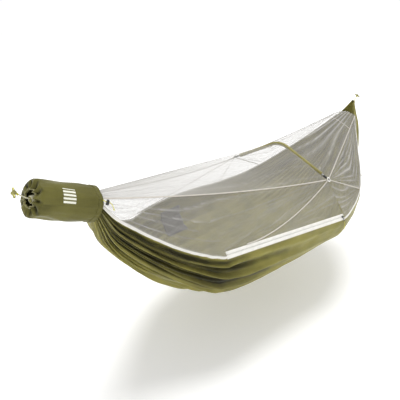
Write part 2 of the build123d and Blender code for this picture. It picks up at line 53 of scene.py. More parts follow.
# Stations of the hanging cloth, in mm as in the CAD: x, half width, rim height, depth, side bulge
STATIONS = [
    (-1150, 9, -6, 15, 1.0),
    (-1050, 24, -40, 32, 1.0),
    (-955, 44, -78, 58, 1.0),
    (-925, 86, -130, 118, 1.05),
    (-860, 112, -190, 150, 1.08),
    (-790, 142, -247, 168, 1.09),
    (-680, 215, -320, 192, 1.1),
    (-550, 282, -372, 226, 1.12),
    (-410, 345, -386, 258, 1.13),
    (-120, 402, -405, 277, 1.1),
    (90, 412, -422, 255, 1.05),
    (250, 410, -435, 230, 1.03),
    (420, 385, -425, 212, 1.06),
    (580, 345, -390, 200, 1.1),
    (740, 268, -312, 190, 1.14),
    (870, 186, -228, 172, 1.2),
    (980, 120, -148, 132, 1.25),
    (1060, 72, -82, 92, 1.3),
    (1110, 36, -36, 56, 1.2),
    (1150, 9, 5, 15, 1.0),
]
MM = 0.001
CLOTH_START, CLOTH_END = -1.15, 1.15
BODY_START, BODY_END = -0.955, 1.06
SEAM_ANGLE = 60          # degrees of section angle of the seams between the three body panels
FULLNESS = 0.85
CLOTH_WIDTH = 1.12       # of the flat body cloth across its three panels: its girth where it has no folds
CLOTH_LENGTH = 2.85      # of the flat body cloth, end to end: its run along the bottom

ZIP_X = (-0.55, 0.25)
POLE_X = 0.25
POLE_HALF = 0.289
POLE_FOOT_Z = -0.244
POLE_PEAK_Z = -0.101
POLE_BEND = 0.110
SLEEVE_R = 0.0082
SLEEVE_END = 0.030
HEAD_CORNER_X = 0.58
BINDING = 0.009
FLOOR_Z = -0.92


# ---- small maths ----
def mix(a, b, t):
    return a + (b - a) * t


def clamp(t, low=0.0, high=1.0):
    return max(low, min(high, t))


def ease(t):
    t = clamp(t)
    return t * t * (3 - 2 * t)


def monotone_curve(xs, ys):
    """Smooth curve through the points that never overshoots them."""
    slopes = [(y1 - y0) / (x1 - x0) for x0, x1, y0, y1 in zip(xs, xs[1:], ys, ys[1:])]
    inner = [0 if a * b <= 0 else 2 * a * b / (a + b) for a, b in zip(slopes, slopes[1:])]
    tangents = [slopes[0], *inner, slopes[-1]]

    def value(x):
        k = next((k for k, right in enumerate(xs[1:]) if x <= right), len(xs) - 2)
        width = xs[k + 1] - xs[k]
        t = clamp((x - xs[k]) / width)
        rise = 3 * (ys[k + 1] - ys[k])
        a = rise - width * (2 * tangents[k] + tangents[k + 1])
        b = width * (tangents[k] + tangents[k + 1]) - rise * 2 / 3
        return ys[k] + t * (width * tangents[k] + t * (a + t * b))

    return value


STATION_X = [s[0] * MM for s in STATIONS]
half_width, rim_height, depth = (monotone_curve(STATION_X, [s[c] * MM for s in STATIONS]) for c in (1, 2, 3))
bulge = monotone_curve(STATION_X, [s[4] for s in STATIONS])


def wander(*place, size=1.0):
    """Smooth noise from -1 to 1 at a place, whose features are about size across."""
    return noise.noise(Vector([c / size for c in (*place, 0.0, 0.0)[:3]]))


# ---- shape of the hanging cloth ----
def rim(x, side):
    """Rim point; the zipped side is straight along the zipper."""
    if side == NEAR and ZIP_X[0] < x < ZIP_X[1]:
        return mix(rim(ZIP_X[0], NEAR), rim(ZIP_X[1], NEAR), (x - ZIP_X[0]) / (ZIP_X[1] - ZIP_X[0]))
    return Vector((x, side * half_width(x), rim_height(x)))


def section(x, angle):
    """Point of the smooth hanging cloth; angle 0 is the zipped rim and 180 the far rim."""
    near, far = rim(x, NEAR), rim(x, FAR)
    turn = radians(angle)
    wide = 1 + (bulge(x) - 1) * sin(turn)
    y = (near.y + far.y) / 2 - (far.y - near.y) / 2 * cos(turn) * wide
    return Vector((x, y, mix(near.z, far.z, angle / 180) - depth(x) * max(sin(turn), 0) ** FULLNESS))


def outward(x, angle):
    """Unit normal of the section, away from the inside."""
    step = 2
    run = section(x, min(angle + step, 179.5)) - section(x, max(angle - step, 0.5))
    return Vector((0, run.z, -run.y)).normalized()


# Pleats: section angle, height share and half width in degrees of each ridge
LEFT_RIDGES = [(7, 0.8, 5), (20, 1.0, 6), (33, 0.75, 5), (47, 1.1, 6), (64, 1.0, 7), (80, 0.9, 7),
               (97, 0.8, 8), (113, 1.0, 8), (130, 0.8, 6), (146, 1.0, 6), (160, 0.8, 5), (173, 0.8, 4)]
RIGHT_RIDGES = [(5, 0.9, 4), (17, 1.0, 4.5), (30, 0.9, 5), (43, 1.1, 5), (57, 0.9, 5), (70, 1.0, 5.5),
                (84, 0.9, 5.5), (99, 1.0, 6), (114, 0.9, 5), (127, 1.1, 5), (141, 0.9, 5), (155, 1.0, 4.5),
                (169, 0.9, 4)]
left_pleat_height = monotone_curve(
    [-1.15, -1.05, -0.955, -0.92, -0.86, -0.68, -0.5, -0.3, -0.1, 0.12, 0.32],
    [0.004, 0.009, 0.017, 0.026, 0.034, 0.041, 0.037, 0.023, 0.011, 0.004, 0.0])
right_pleat_height = monotone_curve(
    [0.45, 0.62, 0.74, 0.87, 0.98, 1.06, 1.11, 1.15],
    [0.0, 0.005, 0.010, 0.017, 0.023, 0.024, 0.017, 0.006])


def crest(t):
    """Rounded ridge, 1 high, over its half width."""
    return exp(0.35 - sqrt(t * t + 0.12))


def pleats(x, angle, ridges, height, seed):
    """Outward shift of the cloth by one end's fan of ridges; the valleys lie inside the smooth shape."""
    if height <= 0:
        return 0.0
    total = 0.0
    for k, (at, share, wide) in enumerate(ridges):
        middle = at + 5 * wander(x, k * 3.7, seed, size=0.45)
        fade = 0.6 + 0.8 * (0.5 + wander(x, k * 5.1 + 9, seed, size=0.35))
        total += share * fade * crest((angle - middle) / (0.55 * wide))
    return height * (total - 0.5)


def painted_crease_shade(x, angle):
    """Painted shade for the body cloth, from 0 on the open cloth to 1 at the bottom of a valley between the
    pleats; also painted shade below the zipped rim towards the foot end, all of it much weaker past the bottom
    towards the far rim.
    """
    left_height = left_pleat_height(x) if x < 0.32 else 0.0
    right_height = right_pleat_height(x) if x > 0.45 else 0.0
    shift = (pleats(x, angle, LEFT_RIDGES, left_height, 11.0)
             + pleats(x, angle, RIGHT_RIDGES, right_height, 23.0))
    height = max(left_height, right_height)
    reach = clamp((left_height - 0.010) / 0.014) + 0.5 * clamp((right_height - 0.004) / 0.014)
    # Painted shade: dark in the valleys between the pleats and under the zipped rim at the foot end, lighter on
    # the ridges.
    valley_shade = clamp(0.30 - shift / (0.42 * height + 0.0001)) * reach * ease(angle / 4)
    rim_shade = 0.8 * ease((-0.3 - x) / 0.3) * ease((58 - angle) / 32) * ease(angle / 6)
    ridge = clamp(shift / (0.4 * height + 0.0001))
    return clamp(valley_shade + rim_shade * (1 - 0.6 * ridge)) * mix(1, 0.15, ease((angle - 95) / 25))


def wrinkles(x, angle):
    """Soft lengthwise creases that are all over the cloth."""
    along = wander(x, angle / 9, 3.1, size=1.0) * 0.0045
    slanted = wander(x * 5 + angle / 26, angle / 5.5 - x * 2.2, 7.7) * 0.0022
    fine = wander(x * 16 + angle / 11, angle / 2.6, 1.3) * 0.0008
    return along + slanted + fine


def puckers(x, angle):
    """Small gathers that hang from the zipped rim, where the tape is sewn on."""
    if not ZIP_X[0] - 0.1 < x < HEAD_CORNER_X:
        return 0.0
    return 0.0042 * wander(x * 21 + angle / 9, angle / 25, 5.5) * exp(-angle / 20) * ease(angle / 4)


# Depth of the narrow folds where the cloth is drawn together. Between about x = -0.7 and -0.3 they hold a little
# more cloth than its full width has, and towards the foot end only part of it.
gather_depth = monotone_curve(
    [-1.15, -1.08, -1.0, -0.93, -0.86, -0.76, -0.62, -0.48, -0.34, -0.2,
     0.34, 0.5, 0.64, 0.78, 0.9, 0.98, 1.05, 1.1, 1.15],
    [0.001, 0.003, 0.006, 0.012, 0.016, 0.017, 0.015, 0.010, 0.004, 0.0,
     0.0, 0.004, 0.010, 0.015, 0.017, 0.016, 0.012, 0.007, 0.001])
GATHER_PITCH = 6.0       # degrees of section angle from one narrow fold to the next


def gathers(x, angle):
    """Inward shift of the cloth in its narrow folds."""
    deep = gather_depth(x)
    if deep <= 0:
        return 0.0
    turn = tau * (angle / GATHER_PITCH + 0.5 * wander(x * 1.5, angle / 30, 17.0))
    uneven = 0.8 + 0.4 * wander(x * 2, angle / 9, 31.0)
    return -deep * uneven * (0.5 - 0.5 * cos(turn))


def cloth(x, angle, lift=0.0):
    """Point of the creased cloth, raised outwards by lift."""
    left = pleats(x, angle, LEFT_RIDGES, left_pleat_height(x) if x < 0.32 else 0, 11.0)
    right = pleats(x, angle, RIGHT_RIDGES, right_pleat_height(x) if x > 0.45 else 0, 23.0)
    edge = ease(min(angle, 180 - angle) / 7)
    hold = mix(0.25, 1.0, ease((abs(x) - 0.9) / 0.15)) if abs(x) > 0.9 else 0.25
    loose = wrinkles(x, angle) + puckers(x, angle) + gathers(x, angle)
    shift = (left + right) * mix(hold, 1, edge) + loose * edge
    room = 0.8 * min(half_width(x), depth(x))
    return section(x, angle) + outward(x, angle) * (max(shift, -room) + lift)


# ---- pole and net corners ----
POLE_SLOPE = atan2(POLE_PEAK_Z - POLE_FOOT_Z, POLE_HALF)
BEND_Y = POLE_BEND * sin(POLE_SLOPE)


def pole_point(y):
    """Centre line of the pole at a distance y from the middle plane."""
    if abs(y) < BEND_Y:
        return Vector((POLE_X, y, POLE_PEAK_Z - POLE_BEND / cos(POLE_SLOPE) + sqrt(POLE_BEND ** 2 - y * y)))
    return Vector((POLE_X, y, POLE_PEAK_Z - abs(y) * tan(POLE_SLOPE)))


PEG = {side: pole_point(side * POLE_HALF) + Vector((0, side * 0.009, -0.007)) for side in (NEAR, FAR)}
FOOT_END = {side: Vector((-0.955, side * 0.025, -0.066)) for side in (NEAR, FAR)}
HEAD_END = {side: Vector((1.052, side * 0.068, -0.070)) for side in (NEAR, FAR)}
ZIP_START, ZIP_END = rim(ZIP_X[0], NEAR), rim(ZIP_X[1], NEAR)
ZIP_LENGTH = (ZIP_END - ZIP_START).length
ALONG = (ZIP_END - ZIP_START).normalized()
TO_PEG = PEG[NEAR] - ZIP_START
PEG_S = TO_PEG.dot(ALONG)
DOOR_UP = (TO_PEG - ALONG * PEG_S).normalized()
PEG_U = TO_PEG.dot(DOOR_UP)
DOOR_OUT = ALONG.cross(DOOR_UP)
SEAM_FOOT = 0.029
DOOR_FOOT = 0.026


def door_point(s, u, n=0.0):
    """Point in the door's plane: s along the zipper, u up from the rim, n outwards."""
    return ZIP_START + ALONG * s + DOOR_UP * u + DOOR_OUT * n


CORNER = {NEAR: door_point(0, SEAM_FOOT)}
CORNER[FAR] = Vector((CORNER[NEAR].x, -CORNER[NEAR].y, CORNER[NEAR].z))


def above_rim(x, side):
    return rim(x, side) + UP * BINDING


def at_x(a, b, x):
    """Point with the given x on the line through a and b."""
    return mix(a, b, (x - a.x) / (b.x - a.x))


def foot_seam(side, t):
    """Slightly sagging seam from the sack end to the foot of the pole."""
    return mix(FOOT_END[side], PEG[side], t) + DOWN * (0.022 * 4 * t * (1 - t))


def head_seam(side, t):
    """Seam from the foot of the pole to the head end."""
    return mix(PEG[side], HEAD_END[side], t) + DOWN * (0.008 * 4 * t * (1 - t))


# ---- mesh helpers ----
def new_object(name, data):
    obj = bpy.data.objects.new(name, data)
    bpy.context.scene.collection.objects.link(obj)
    return obj


def mesh_object(name, points, faces, material, uvs=None, density_and_painted_shade=None):
    """Smooth-shaded mesh. uvs is one pair for each point, and the last argument one number for each point: how
    dense a net is along its folds, or painted shade on the cloth.
    """
    mesh = bpy.data.meshes.new(name)
    mesh.from_pydata([tuple(p) for p in points], [], faces)
    mesh.polygons.foreach_set("use_smooth", [True] * len(mesh.polygons))
    if uvs:
        layer = mesh.uv_layers.new(name="cloth")
        flat = [c for loop in mesh.loops for c in uvs[loop.vertex_index]]
        layer.data.foreach_set("uv", flat)
    if density_and_painted_shade:
        mesh.attributes.new("density_and_painted_shade", "FLOAT", "POINT").data.foreach_set("value", density_and_painted_shade)
    mesh.materials.append(material)
    return new_object(name, mesh)


def grid_faces(rows, columns, closed=False):
    faces = []
    for r in range(rows - 1):
        for c in range(columns if closed else columns - 1):
            d = (c + 1) % columns
            faces.append((r * columns + c, r * columns + d, (r + 1) * columns + d, (r + 1) * columns + c))
    return faces


def grid_object(name, rows, material, closed=False, density_and_painted_shade=None, uv_size=None, capped=False):
    """Sheet through rows of points. UVs run in metres, along the middle row and the middle column."""
    count, columns = len(rows), len(rows[0])
    if uv_size:
        across = [uv_size[0] * c / (columns - 1) for c in range(columns)]
        along = [uv_size[1] * r / (count - 1) for r in range(count)]
    else:
        middle_row = rows[count // 2]
        across = [0.0]
        for a, b in zip(middle_row, middle_row[1:]):
            across.append(across[-1] + (b - a).length)
        along = [0.0]
        for a, b in zip(rows, rows[1:]):
            along.append(along[-1] + (b[columns // 2] - a[columns // 2]).length)
    points = [p for row in rows for p in row]
    uvs = [(across[c], along[r]) for r in range(count) for c in range(columns)]
    faces = grid_faces(count, columns, closed)
    if capped:
        faces.append(tuple(reversed(range(columns))))
        faces.append(tuple(range((count - 1) * columns, count * columns)))
    return mesh_object(name, points, faces, material, uvs, density_and_painted_shade)


def thicken(obj, thickness, offset=0.0):
    """Give a sheet its thickness, as real geometry."""
    solid = obj.modifiers.new("thickness", "SOLIDIFY")
    solid.thickness = thickness
    solid.offset = offset
    apply_modifiers(obj)


def apply_modifiers(obj):
    depsgraph = bpy.context.evaluated_depsgraph_get()
    mesh = bpy.data.meshes.new_from_object(obj.evaluated_get(depsgraph))
    obj.modifiers.clear()
    obj.data = mesh


def tube_rows(path, radius, sides=12, closed_path=False):
    """Rings of points round a path; radius is a number or a function of the path's share."""
    rows = []
    normal = None
    for k, point in enumerate(path):
        after = path[(k + 1) % len(path)] if closed_path else path[min(k + 1, len(path) - 1)]
        before = path[k - 1] if closed_path or k else path[0]
        way = (after - before).normalized()
        if normal is None:
            normal = way.orthogonal().normalized()
        normal = (normal - way * normal.dot(way)).normalized()
        side = way.cross(normal)
        r = radius(k / (len(path) - 1)) if callable(radius) else radius
        rows.append([point + (normal * cos(tau * j / sides) + side * sin(tau * j / sides)) * r
                     for j in range(sides)])
    return rows


def tube_object(name, path, radius, material, sides=12, closed_path=False):
    rows = tube_rows(path, radius, sides, closed_path)
    if closed_path:
        rows.append(rows[0])
    return grid_object(name, rows, material, closed=True)


def joined(name, parts):
    """One object from several, with their materials kept."""
    with bpy.context.temp_override(active_object=parts[0], selected_editable_objects=parts, object=parts[0]):
        bpy.ops.object.join()
    parts[0].name = name
    return parts[0]


def place(obj, body, slot, *nodes):
    """Put a finished piece on its body and hide the CAD nodes that it stands for; slot is not used."""
    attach(obj, body)
    if nodes:
        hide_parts(*nodes)
    return obj


# ---- materials ----
class Surface:
    """Material with one Principled shader and short ways to feed it."""

    def __init__(self, name, colour, roughness, **settings):
        self.material = bpy.data.materials.new(name)
        self.material.use_nodes = True
        self.nodes = self.material.node_tree.nodes
        self.links = self.material.node_tree.links
        self.shader = self.nodes["Principled BSDF"]
        self.shader.inputs["Base Color"].default_value = (*colour, 1)
        self.shader.inputs["Roughness"].default_value = roughness
        for key, value in settings.items():
            self.shader.inputs[key.replace("_", " ")].default_value = value
        self.heights = []

    def node(self, kind, inputs=None, **properties):
        node = self.nodes.new(kind)
        for key, value in properties.items():
            setattr(node, key, value)
        for key, value in (inputs or {}).items():
            if isinstance(value, bpy.types.NodeSocket):
                self.links.new(value, node.inputs[key])
            else:
                node.inputs[key].default_value = value
        return node

    def math(self, operation, a, b=0.0, c=0.0):
        return self.node("ShaderNodeMath", {0: a, 1: b, 2: c}, operation=operation).outputs[0]

    def uv(self):
        return self.node("ShaderNodeTexCoord").outputs["UV"]

    def place(self):
        return self.node("ShaderNodeTexCoord").outputs["Object"]

    def noise(self, vector, scale, detail=3.0, stretch=None):
        if stretch:
            vector = self.node("ShaderNodeMapping", {"Vector": vector, "Scale": stretch}).outputs[0]
        inputs = {"Vector": vector, "Scale": scale, "Detail": detail}
        return self.node("ShaderNodeTexNoise", inputs).outputs["Fac"]

    def lines(self, vector, spacing, direction, sharpness):
        """Thin raised lines every spacing metres across one UV direction."""
        wave = self.node("ShaderNodeTexWave", {"Vector": vector, "Scale": tau / 20 / spacing},
                         bands_direction=direction, wave_profile="SIN").outputs["Fac"]
        return self.math("POWER", wave, sharpness)

    def colours(self, factor, *stops):
        """Base colour from a ramp of (place, colour) stops."""
        ramp = self.node("ShaderNodeValToRGB", {"Fac": factor})
        elements = ramp.color_ramp.elements
        while len(elements) < len(stops):
            elements.new(0.5)
        for element, (at, colour) in zip(elements, stops):
            element.position = at
            element.color = (*colour, 1)
        self.links.new(ramp.outputs["Color"], self.shader.inputs["Base Color"])
        return ramp.outputs["Color"]

    def bump(self, height, distance, strength=1.0):
        """Add one layer of relief, distance metres deep."""
        inputs = {"Height": height, "Distance": distance, "Strength": strength}
        if self.heights:
            inputs["Normal"] = self.heights[-1]
        self.heights.append(self.node("ShaderNodeBump", inputs).outputs["Normal"])
        self.links.new(self.heights[-1], self.shader.inputs["Normal"])

    def roughness(self, factor, low, high):
        span = self.node("ShaderNodeMapRange", {"Value": factor, "To Min": low, "To Max": high})
        self.links.new(span.outputs[0], self.shader.inputs["Roughness"])


def darker(colour, share):
    return tuple(c * share for c in colour)


def ripstop(name, colour, spacing=0.006, crease=0.0007, through=0.0, gloss=0.28):
    """Satin ripstop nylon: a grid of thicker threads, a fine weave, crinkles, painted shade in the folds and
    uneven dye.
    """
    s = Surface(name, colour, 0.45, Sheen_Weight=0.06, Sheen_Roughness=0.4, Specular_IOR_Level=gloss,
                Subsurface_Weight=through, Subsurface_Radius=(1.0, 0.9, 0.6), Subsurface_Scale=0.0022)
    uv = s.uv()
    warp = s.lines(uv, spacing, "X", 14)
    weft = s.lines(uv, spacing, "Y", 14)
    grid = s.math("MAXIMUM", warp, weft)
    weave = s.math("ADD", s.lines(uv, 0.0011, "X", 1), s.lines(uv, 0.0011, "Y", 1))
    blotch = s.noise(uv, 7, 4)
    crinkle = s.noise(uv, 26, 5, stretch=(1, 0.45, 1))
    mixed = s.math("ADD", s.math("MULTIPLY", blotch, 0.75), s.math("MULTIPLY", grid, 0.06))
    mixed = s.math("ADD", mixed, s.math("MULTIPLY", s.math("SUBTRACT", crinkle, 0.5), 0.35))
    # Painted shade: the colour darkens by the point attribute that marks shade in the folds.
    painted_shade = s.node("ShaderNodeAttribute", attribute_name="density_and_painted_shade").outputs["Fac"]
    mixed = s.math("SUBTRACT", s.math("ADD", mixed, 0.3), s.math("MULTIPLY", painted_shade, 0.5))
    s.colours(mixed, (0.12, darker(colour, 0.10)), (0.42, darker(colour, 0.52)), (0.72, colour),
              (0.96, tuple(min(1, c * 1.2) for c in colour)))
    s.roughness(crinkle, 0.34, 0.52)
    s.bump(weave, 0.00006, 0.5)
    s.bump(grid, 0.00016, 0.7)
    s.bump(crinkle, crease, 0.8)
    return s.material


def netting(name, colour=(0.58, 0.565, 0.54), base=0.30, folded=0.62):
    """Fine insect mesh: see-through, denser along folds and on its threads."""
    s = Surface(name, colour, 0.75, Sheen_Weight=0.2, Specular_IOR_Level=0.2)
    uv = s.uv()
    threads = s.math("MAXIMUM", s.lines(uv, 0.0032, "X", 2), s.lines(uv, 0.0032, "Y", 2))
    density_and_painted_shade = s.node("ShaderNodeAttribute", attribute_name="density_and_painted_shade").outputs["Fac"]
    streak = s.noise(uv, 14, 3, stretch=(1, 0.12, 1))
    cover = s.math("ADD", s.math("MULTIPLY", threads, 0.12), s.math("MULTIPLY", streak, 0.16))
    cover = s.math("ADD", cover, s.math("MULTIPLY", density_and_painted_shade, folded))
    alpha = s.math("ADD", cover, base - 0.14)
    s.links.new(s.node("ShaderNodeClamp", {"Value": alpha}).outputs[0], s.shader.inputs["Alpha"])
    s.colours(streak, (0.3, darker(colour, 0.9)), (0.7, colour))
    s.bump(threads, 0.00008, 0.4)
    return s.material


def woven_tape(name, colour, rib=0.0016):
    """Grosgrain tape: ribs across, a fine weave along and slight grubbiness."""
    s = Surface(name, colour, 0.8, Sheen_Weight=0.15, Specular_IOR_Level=0.25)
    uv = s.uv()
    ribs = s.lines(uv, rib, "Y", 1)
    weave = s.lines(uv, rib * 0.6, "X", 1)
    grub = s.noise(uv, 30, 4)
    tone = s.math("ADD", s.math("MULTIPLY", grub, 0.8), s.math("MULTIPLY", ribs, 0.15))
    s.colours(tone, (0.2, darker(colour, 0.8)), (0.55, colour))
    s.roughness(grub, 0.7, 0.9)
    s.bump(s.math("ADD", ribs, weave), 0.00012, 0.7)
    s.bump(grub, 0.0004, 0.4)
    return s.material


def barred(name, colour, bar_colour):
    """Woven label with plain bars across it."""
    s = Surface(name, colour, 0.6, Sheen_Weight=0.15)
    uv = s.uv()
    bars = s.math("GREATER_THAN", s.lines(uv, 0.0115, "X", 1), 0.42)
    wear = s.noise(uv, 300, 4)
    tone = s.math("ADD", s.math("MULTIPLY", bars, 0.8), s.math("MULTIPLY", wear, 0.2))
    s.colours(tone, (0.1, colour), (0.75, bar_colour))
    s.bump(tone, 0.0003, 0.5)
    return s.material


def braid(name, colour, pitch=0.0022):
    """Braided cord: crossing diagonal strands."""
    s = Surface(name, colour, 0.6, Sheen_Weight=0.2)
    where = s.place()
    one = s.noise(where, 1.4 / pitch, 1, stretch=(1, 0.4, 1))
    two = s.node("ShaderNodeTexWave", {"Vector": where, "Scale": tau / 20 / pitch, "Distortion": 1.5},
                 bands_direction="DIAGONAL").outputs["Fac"]
    strand = s.math("MULTIPLY", two, one)
    s.colours(strand, (0.1, darker(colour, 0.62)), (0.5, colour))
    s.bump(strand, 0.0004, 0.8)
    return s.material


def metal(name, colour, roughness=0.32, grain=900):
    """Anodised or painted metal with fine brushing and scuffs."""
    s = Surface(name, colour, roughness, Metallic=0.85)
    where = s.place()
    brushing = s.noise(where, grain, 2, stretch=(0.08, 1, 1))
    scuffs = s.noise(where, 120, 5)
    s.colours(scuffs, (0.35, darker(colour, 0.8)), (0.65, colour))
    s.roughness(brushing, roughness - 0.08, roughness + 0.14)
    s.bump(brushing, 0.00005, 0.4)
    return s.material


def plastic(name, colour, roughness=0.5):
    """Moulded plastic with a fine spark-eroded grain."""
    s = Surface(name, colour, roughness, Specular_IOR_Level=0.45)
    where = s.place()
    grain = s.noise(where, 1500, 2)
    tone = s.noise(where, 60, 3)
    s.colours(tone, (0.3, darker(colour, 0.82)), (0.7, colour))
    s.roughness(tone, roughness - 0.08, roughness + 0.1)
    s.bump(grain, 0.00005, 0.4)
    return s.material


OLIVE = (0.248, 0.226, 0.056)
SACK_OLIVE = (0.128, 0.119, 0.030)
body_cloth = ripstop("olive_ripstop", OLIVE, through=0.6, gloss=0.16)
sack_cloth = ripstop("sack_ripstop", SACK_OLIVE, crease=0.0014, gloss=0.12)
sleeve_cloth = ripstop("sleeve_cloth", (0.29, 0.26, 0.08), spacing=0.004)
pocket_cloth = ripstop("pocket_cloth", (0.10, 0.095, 0.085))
label_cloth = barred("label_weave", darker(SACK_OLIVE, 1.1), (0.80, 0.80, 0.70))
white_tape = woven_tape("white_tape", (0.83, 0.81, 0.76))
seam_white = woven_tape("seam_white", (0.60, 0.56, 0.50))
net = netting("insect_mesh")
coil_plastic = plastic("coil_plastic", (0.82, 0.81, 0.76), 0.35)
yellow = braid("yellow_braid", (0.80, 0.74, 0.06))
cream = braid("cream_braid", (0.74, 0.71, 0.50))
dark_thread = braid("dark_stitching", (0.11, 0.10, 0.035), pitch=0.001)
dark_metal = metal("dark_metal", (0.09, 0.09, 0.085), 0.35)
toggle_metal = metal("olive_anodised", (0.38, 0.36, 0.13), 0.38)
pole_metal = metal("pole_alloy", (0.55, 0.55, 0.56), 0.3)
spring_metal = metal("spring_wire", (0.6, 0.6, 0.6), 0.25)
black_plastic = plastic("black_plastic", (0.03, 0.03, 0.03), 0.5)


# ---- body cloth ----
def cloth_xs(start, end, count):
    """Places along the cloth, closer together at both ends."""
    shares = [k / count for k in range(count + 1)]
    return [mix(start, end, t - 0.08 * sin(tau * t)) for t in shares]


PANEL_OVERRUN = 0.016    # of each panel past the cloth's end stations
PANEL_STEPS = 180        # of each panel's mesh along the cloth
PANEL_STRIPS = 90        # of each panel's mesh across it


def body_panel(name, low, high, *nodes):
    xs = cloth_xs(CLOTH_START - PANEL_OVERRUN, CLOTH_END + PANEL_OVERRUN, PANEL_STEPS)
    angles = [mix(low, high, k / PANEL_STRIPS) for k in range(PANEL_STRIPS + 1)]
    rows = [[cloth(x, a) for a in angles] for x in xs]
    # Painted shade for each point of the panel, stored on the mesh to darken its colour.
    fold_shade = [painted_crease_shade(x, a) for x in xs for a in angles]
    panel = grid_object(name, rows, body_cloth, density_and_painted_shade=fold_shade, uv_size=(CLOTH_WIDTH / 3, CLOTH_LENGTH))
    thicken(panel, 0.0011)
    place(panel, "hammock", "body_fabric", *nodes)


def panel_seam(name, angle):
    """Felled seam between two body panels, standing a little proud outside."""
    profile = [(-1.0, -0.0002), (-0.8, 0.0011), (-0.3, 0.0014), (0.3, 0.0014), (0.8, 0.0011), (1.0, -0.0002)]
    rows = []
    for x in cloth_xs(-1.0, 1.08, 230):
        half_turn = 0.24 / max(half_width(x) + depth(x), 0.05) * 0.9
        rows.append([cloth(x, angle + share * half_turn, 0.0006 + lift) for share, lift in profile])
    seam = grid_object(name, rows, seam_cloth)
    return place(seam, "hammock", "body_fabric")


def stitched(name, colour, thread_colour, rows_apart=0.004, width=0.008):
    """Cloth with two lines of dashes along it."""
    s = Surface(name, colour, 0.5, Sheen_Weight=0.25)
    uv = s.uv()
    dash = s.math("GREATER_THAN", s.lines(uv, 0.0042, "Y", 1), 0.45)
    line = s.lines(uv, rows_apart, "X", 9)
    stitch = s.math("MULTIPLY", dash, line)
    blotch = s.noise(uv, 40, 4)
    tone = s.math("ADD", s.math("MULTIPLY", stitch, 0.6), s.math("MULTIPLY", blotch, 0.4))
    s.colours(tone, (0.1, darker(colour, 0.8)), (0.35, colour), (0.75, thread_colour))
    s.bump(stitch, 0.0004, 0.6)
    s.bump(blotch, 0.0005, 0.5)
    return s.material


seam_cloth = stitched("felled_seam", (0.255, 0.235, 0.075), (0.36, 0.34, 0.13))
hem_cloth = stitched("sack_hem", (0.215, 0.20, 0.064), (0.10, 0.09, 0.03), rows_apart=0.011)


def make_body():
    body_panel("near_body_panel", 0, SEAM_ANGLE, "body_near_panel")
    body_panel("centre_body_panel", SEAM_ANGLE, 180 - SEAM_ANGLE,
               "body_centre_panel", "left_gather", "right_gather")
    body_panel("far_body_panel", 180 - SEAM_ANGLE, 180, "body_far_panel")
    panel_seam("near_panel_seam", SEAM_ANGLE)
    panel_seam("far_panel_seam", 180 - SEAM_ANGLE)


def rounded_strip(width, height, count=3):
    """Outline of a flat strip with round edges, as (across, up) pairs."""
    r = min(width, height) / 2
    outline = []
    for cx, cy, start in ((1, 1, 0), (-1, 1, 1), (-1, -1, 2), (1, -1, 3)):
        for k in range(count + 1):
            turn = (start + k / count) * pi / 2
            outline.append((cx * (width / 2 - r) + r * cos(turn), cy * (height / 2 - r) + r * sin(turn)))
    return outline


def ribbon(name, path, facings, width, thickness, material):
    """Flat tape along a path; each facing is the direction that its broad side looks."""
    outline = rounded_strip(width, thickness)
    rows = []
    for k, (point, facing) in enumerate(zip(path, facings)):
        way = (path[min(k + 1, len(path) - 1)] - path[max(k - 1, 0)]).normalized()
        out = (facing - way * facing.dot(way)).normalized()
        side = way.cross(out)
        rows.append([point + side * a + out * b for a, b in outline])
    return grid_object(name, rows, material, closed=True, capped=True)


# ---- rim bindings ----
def binding(name, start, end, side, waviness, *nodes):
    """White tape folded over the rim, slightly wavy where nothing stretches it."""
    count = max(8, int((end - start) / 0.007))
    path = []
    for k in range(count + 1):
        x = mix(start, end, k / count)
        wave = waviness * wander(x, side * 3.3, 2.0, size=0.022)
        path.append(cloth(x, 0.0 if side == NEAR else 180.0) + UP * (BINDING * 0.42 + wave))
    tape = ribbon(name, path, [Vector((0, side, 0.15))] * len(path), BINDING + 0.002, 0.0036, white_tape)
    return place(tape, "hammock", "white_tape", *nodes)


def make_bindings():
    binding("near_foot_binding", -0.955, ZIP_X[0] + 0.004, NEAR, 0.0022, "near_rim_binding")
    binding("near_head_binding", ZIP_X[1] - 0.004, BODY_END, NEAR, 0.0012)
    binding("far_binding", -0.955, BODY_END, FAR, 0.0012, "far_rim_binding")


# ---- insect net ----
def shifted(rows, shift):
    """Rows moved along the sheet's own normals by shift(row share, column share)."""
    count, columns = len(rows), len(rows[0])
    moved = []
    for r in range(count):
        line = []
        for c in range(columns):
            along = rows[min(r + 1, count - 1)][c] - rows[max(r - 1, 0)][c]
            across = rows[r][min(c + 1, columns - 1)] - rows[r][max(c - 1, 0)]
            normal = along.cross(across)
            normal = normal.normalized() if normal.length > 1e-12 else UP
            line.append(rows[r][c] + normal * shift(r / (count - 1), c / (columns - 1)))
        moved.append(line)
    return moved


def fold_pattern(across, along, folds, seed):
    """Sharp folds that run the length of a net panel: 0 between them and 1 on their crests."""
    fold = across * folds + 1.1 * wander(along * 1.6, across * 3, seed) + seed
    ridge = abs(fold % 1.0 - 0.5) * 2
    width = 0.16 + 0.1 * wander(int(fold) * 3.1, seed)
    strength = clamp(0.55 + 1.1 * wander(int(fold) * 2.3, seed * 1.7, along * 1.3))
    return strength * crest((1 - ridge) / max(width, 0.07)) if ridge > 0.3 else 0.0


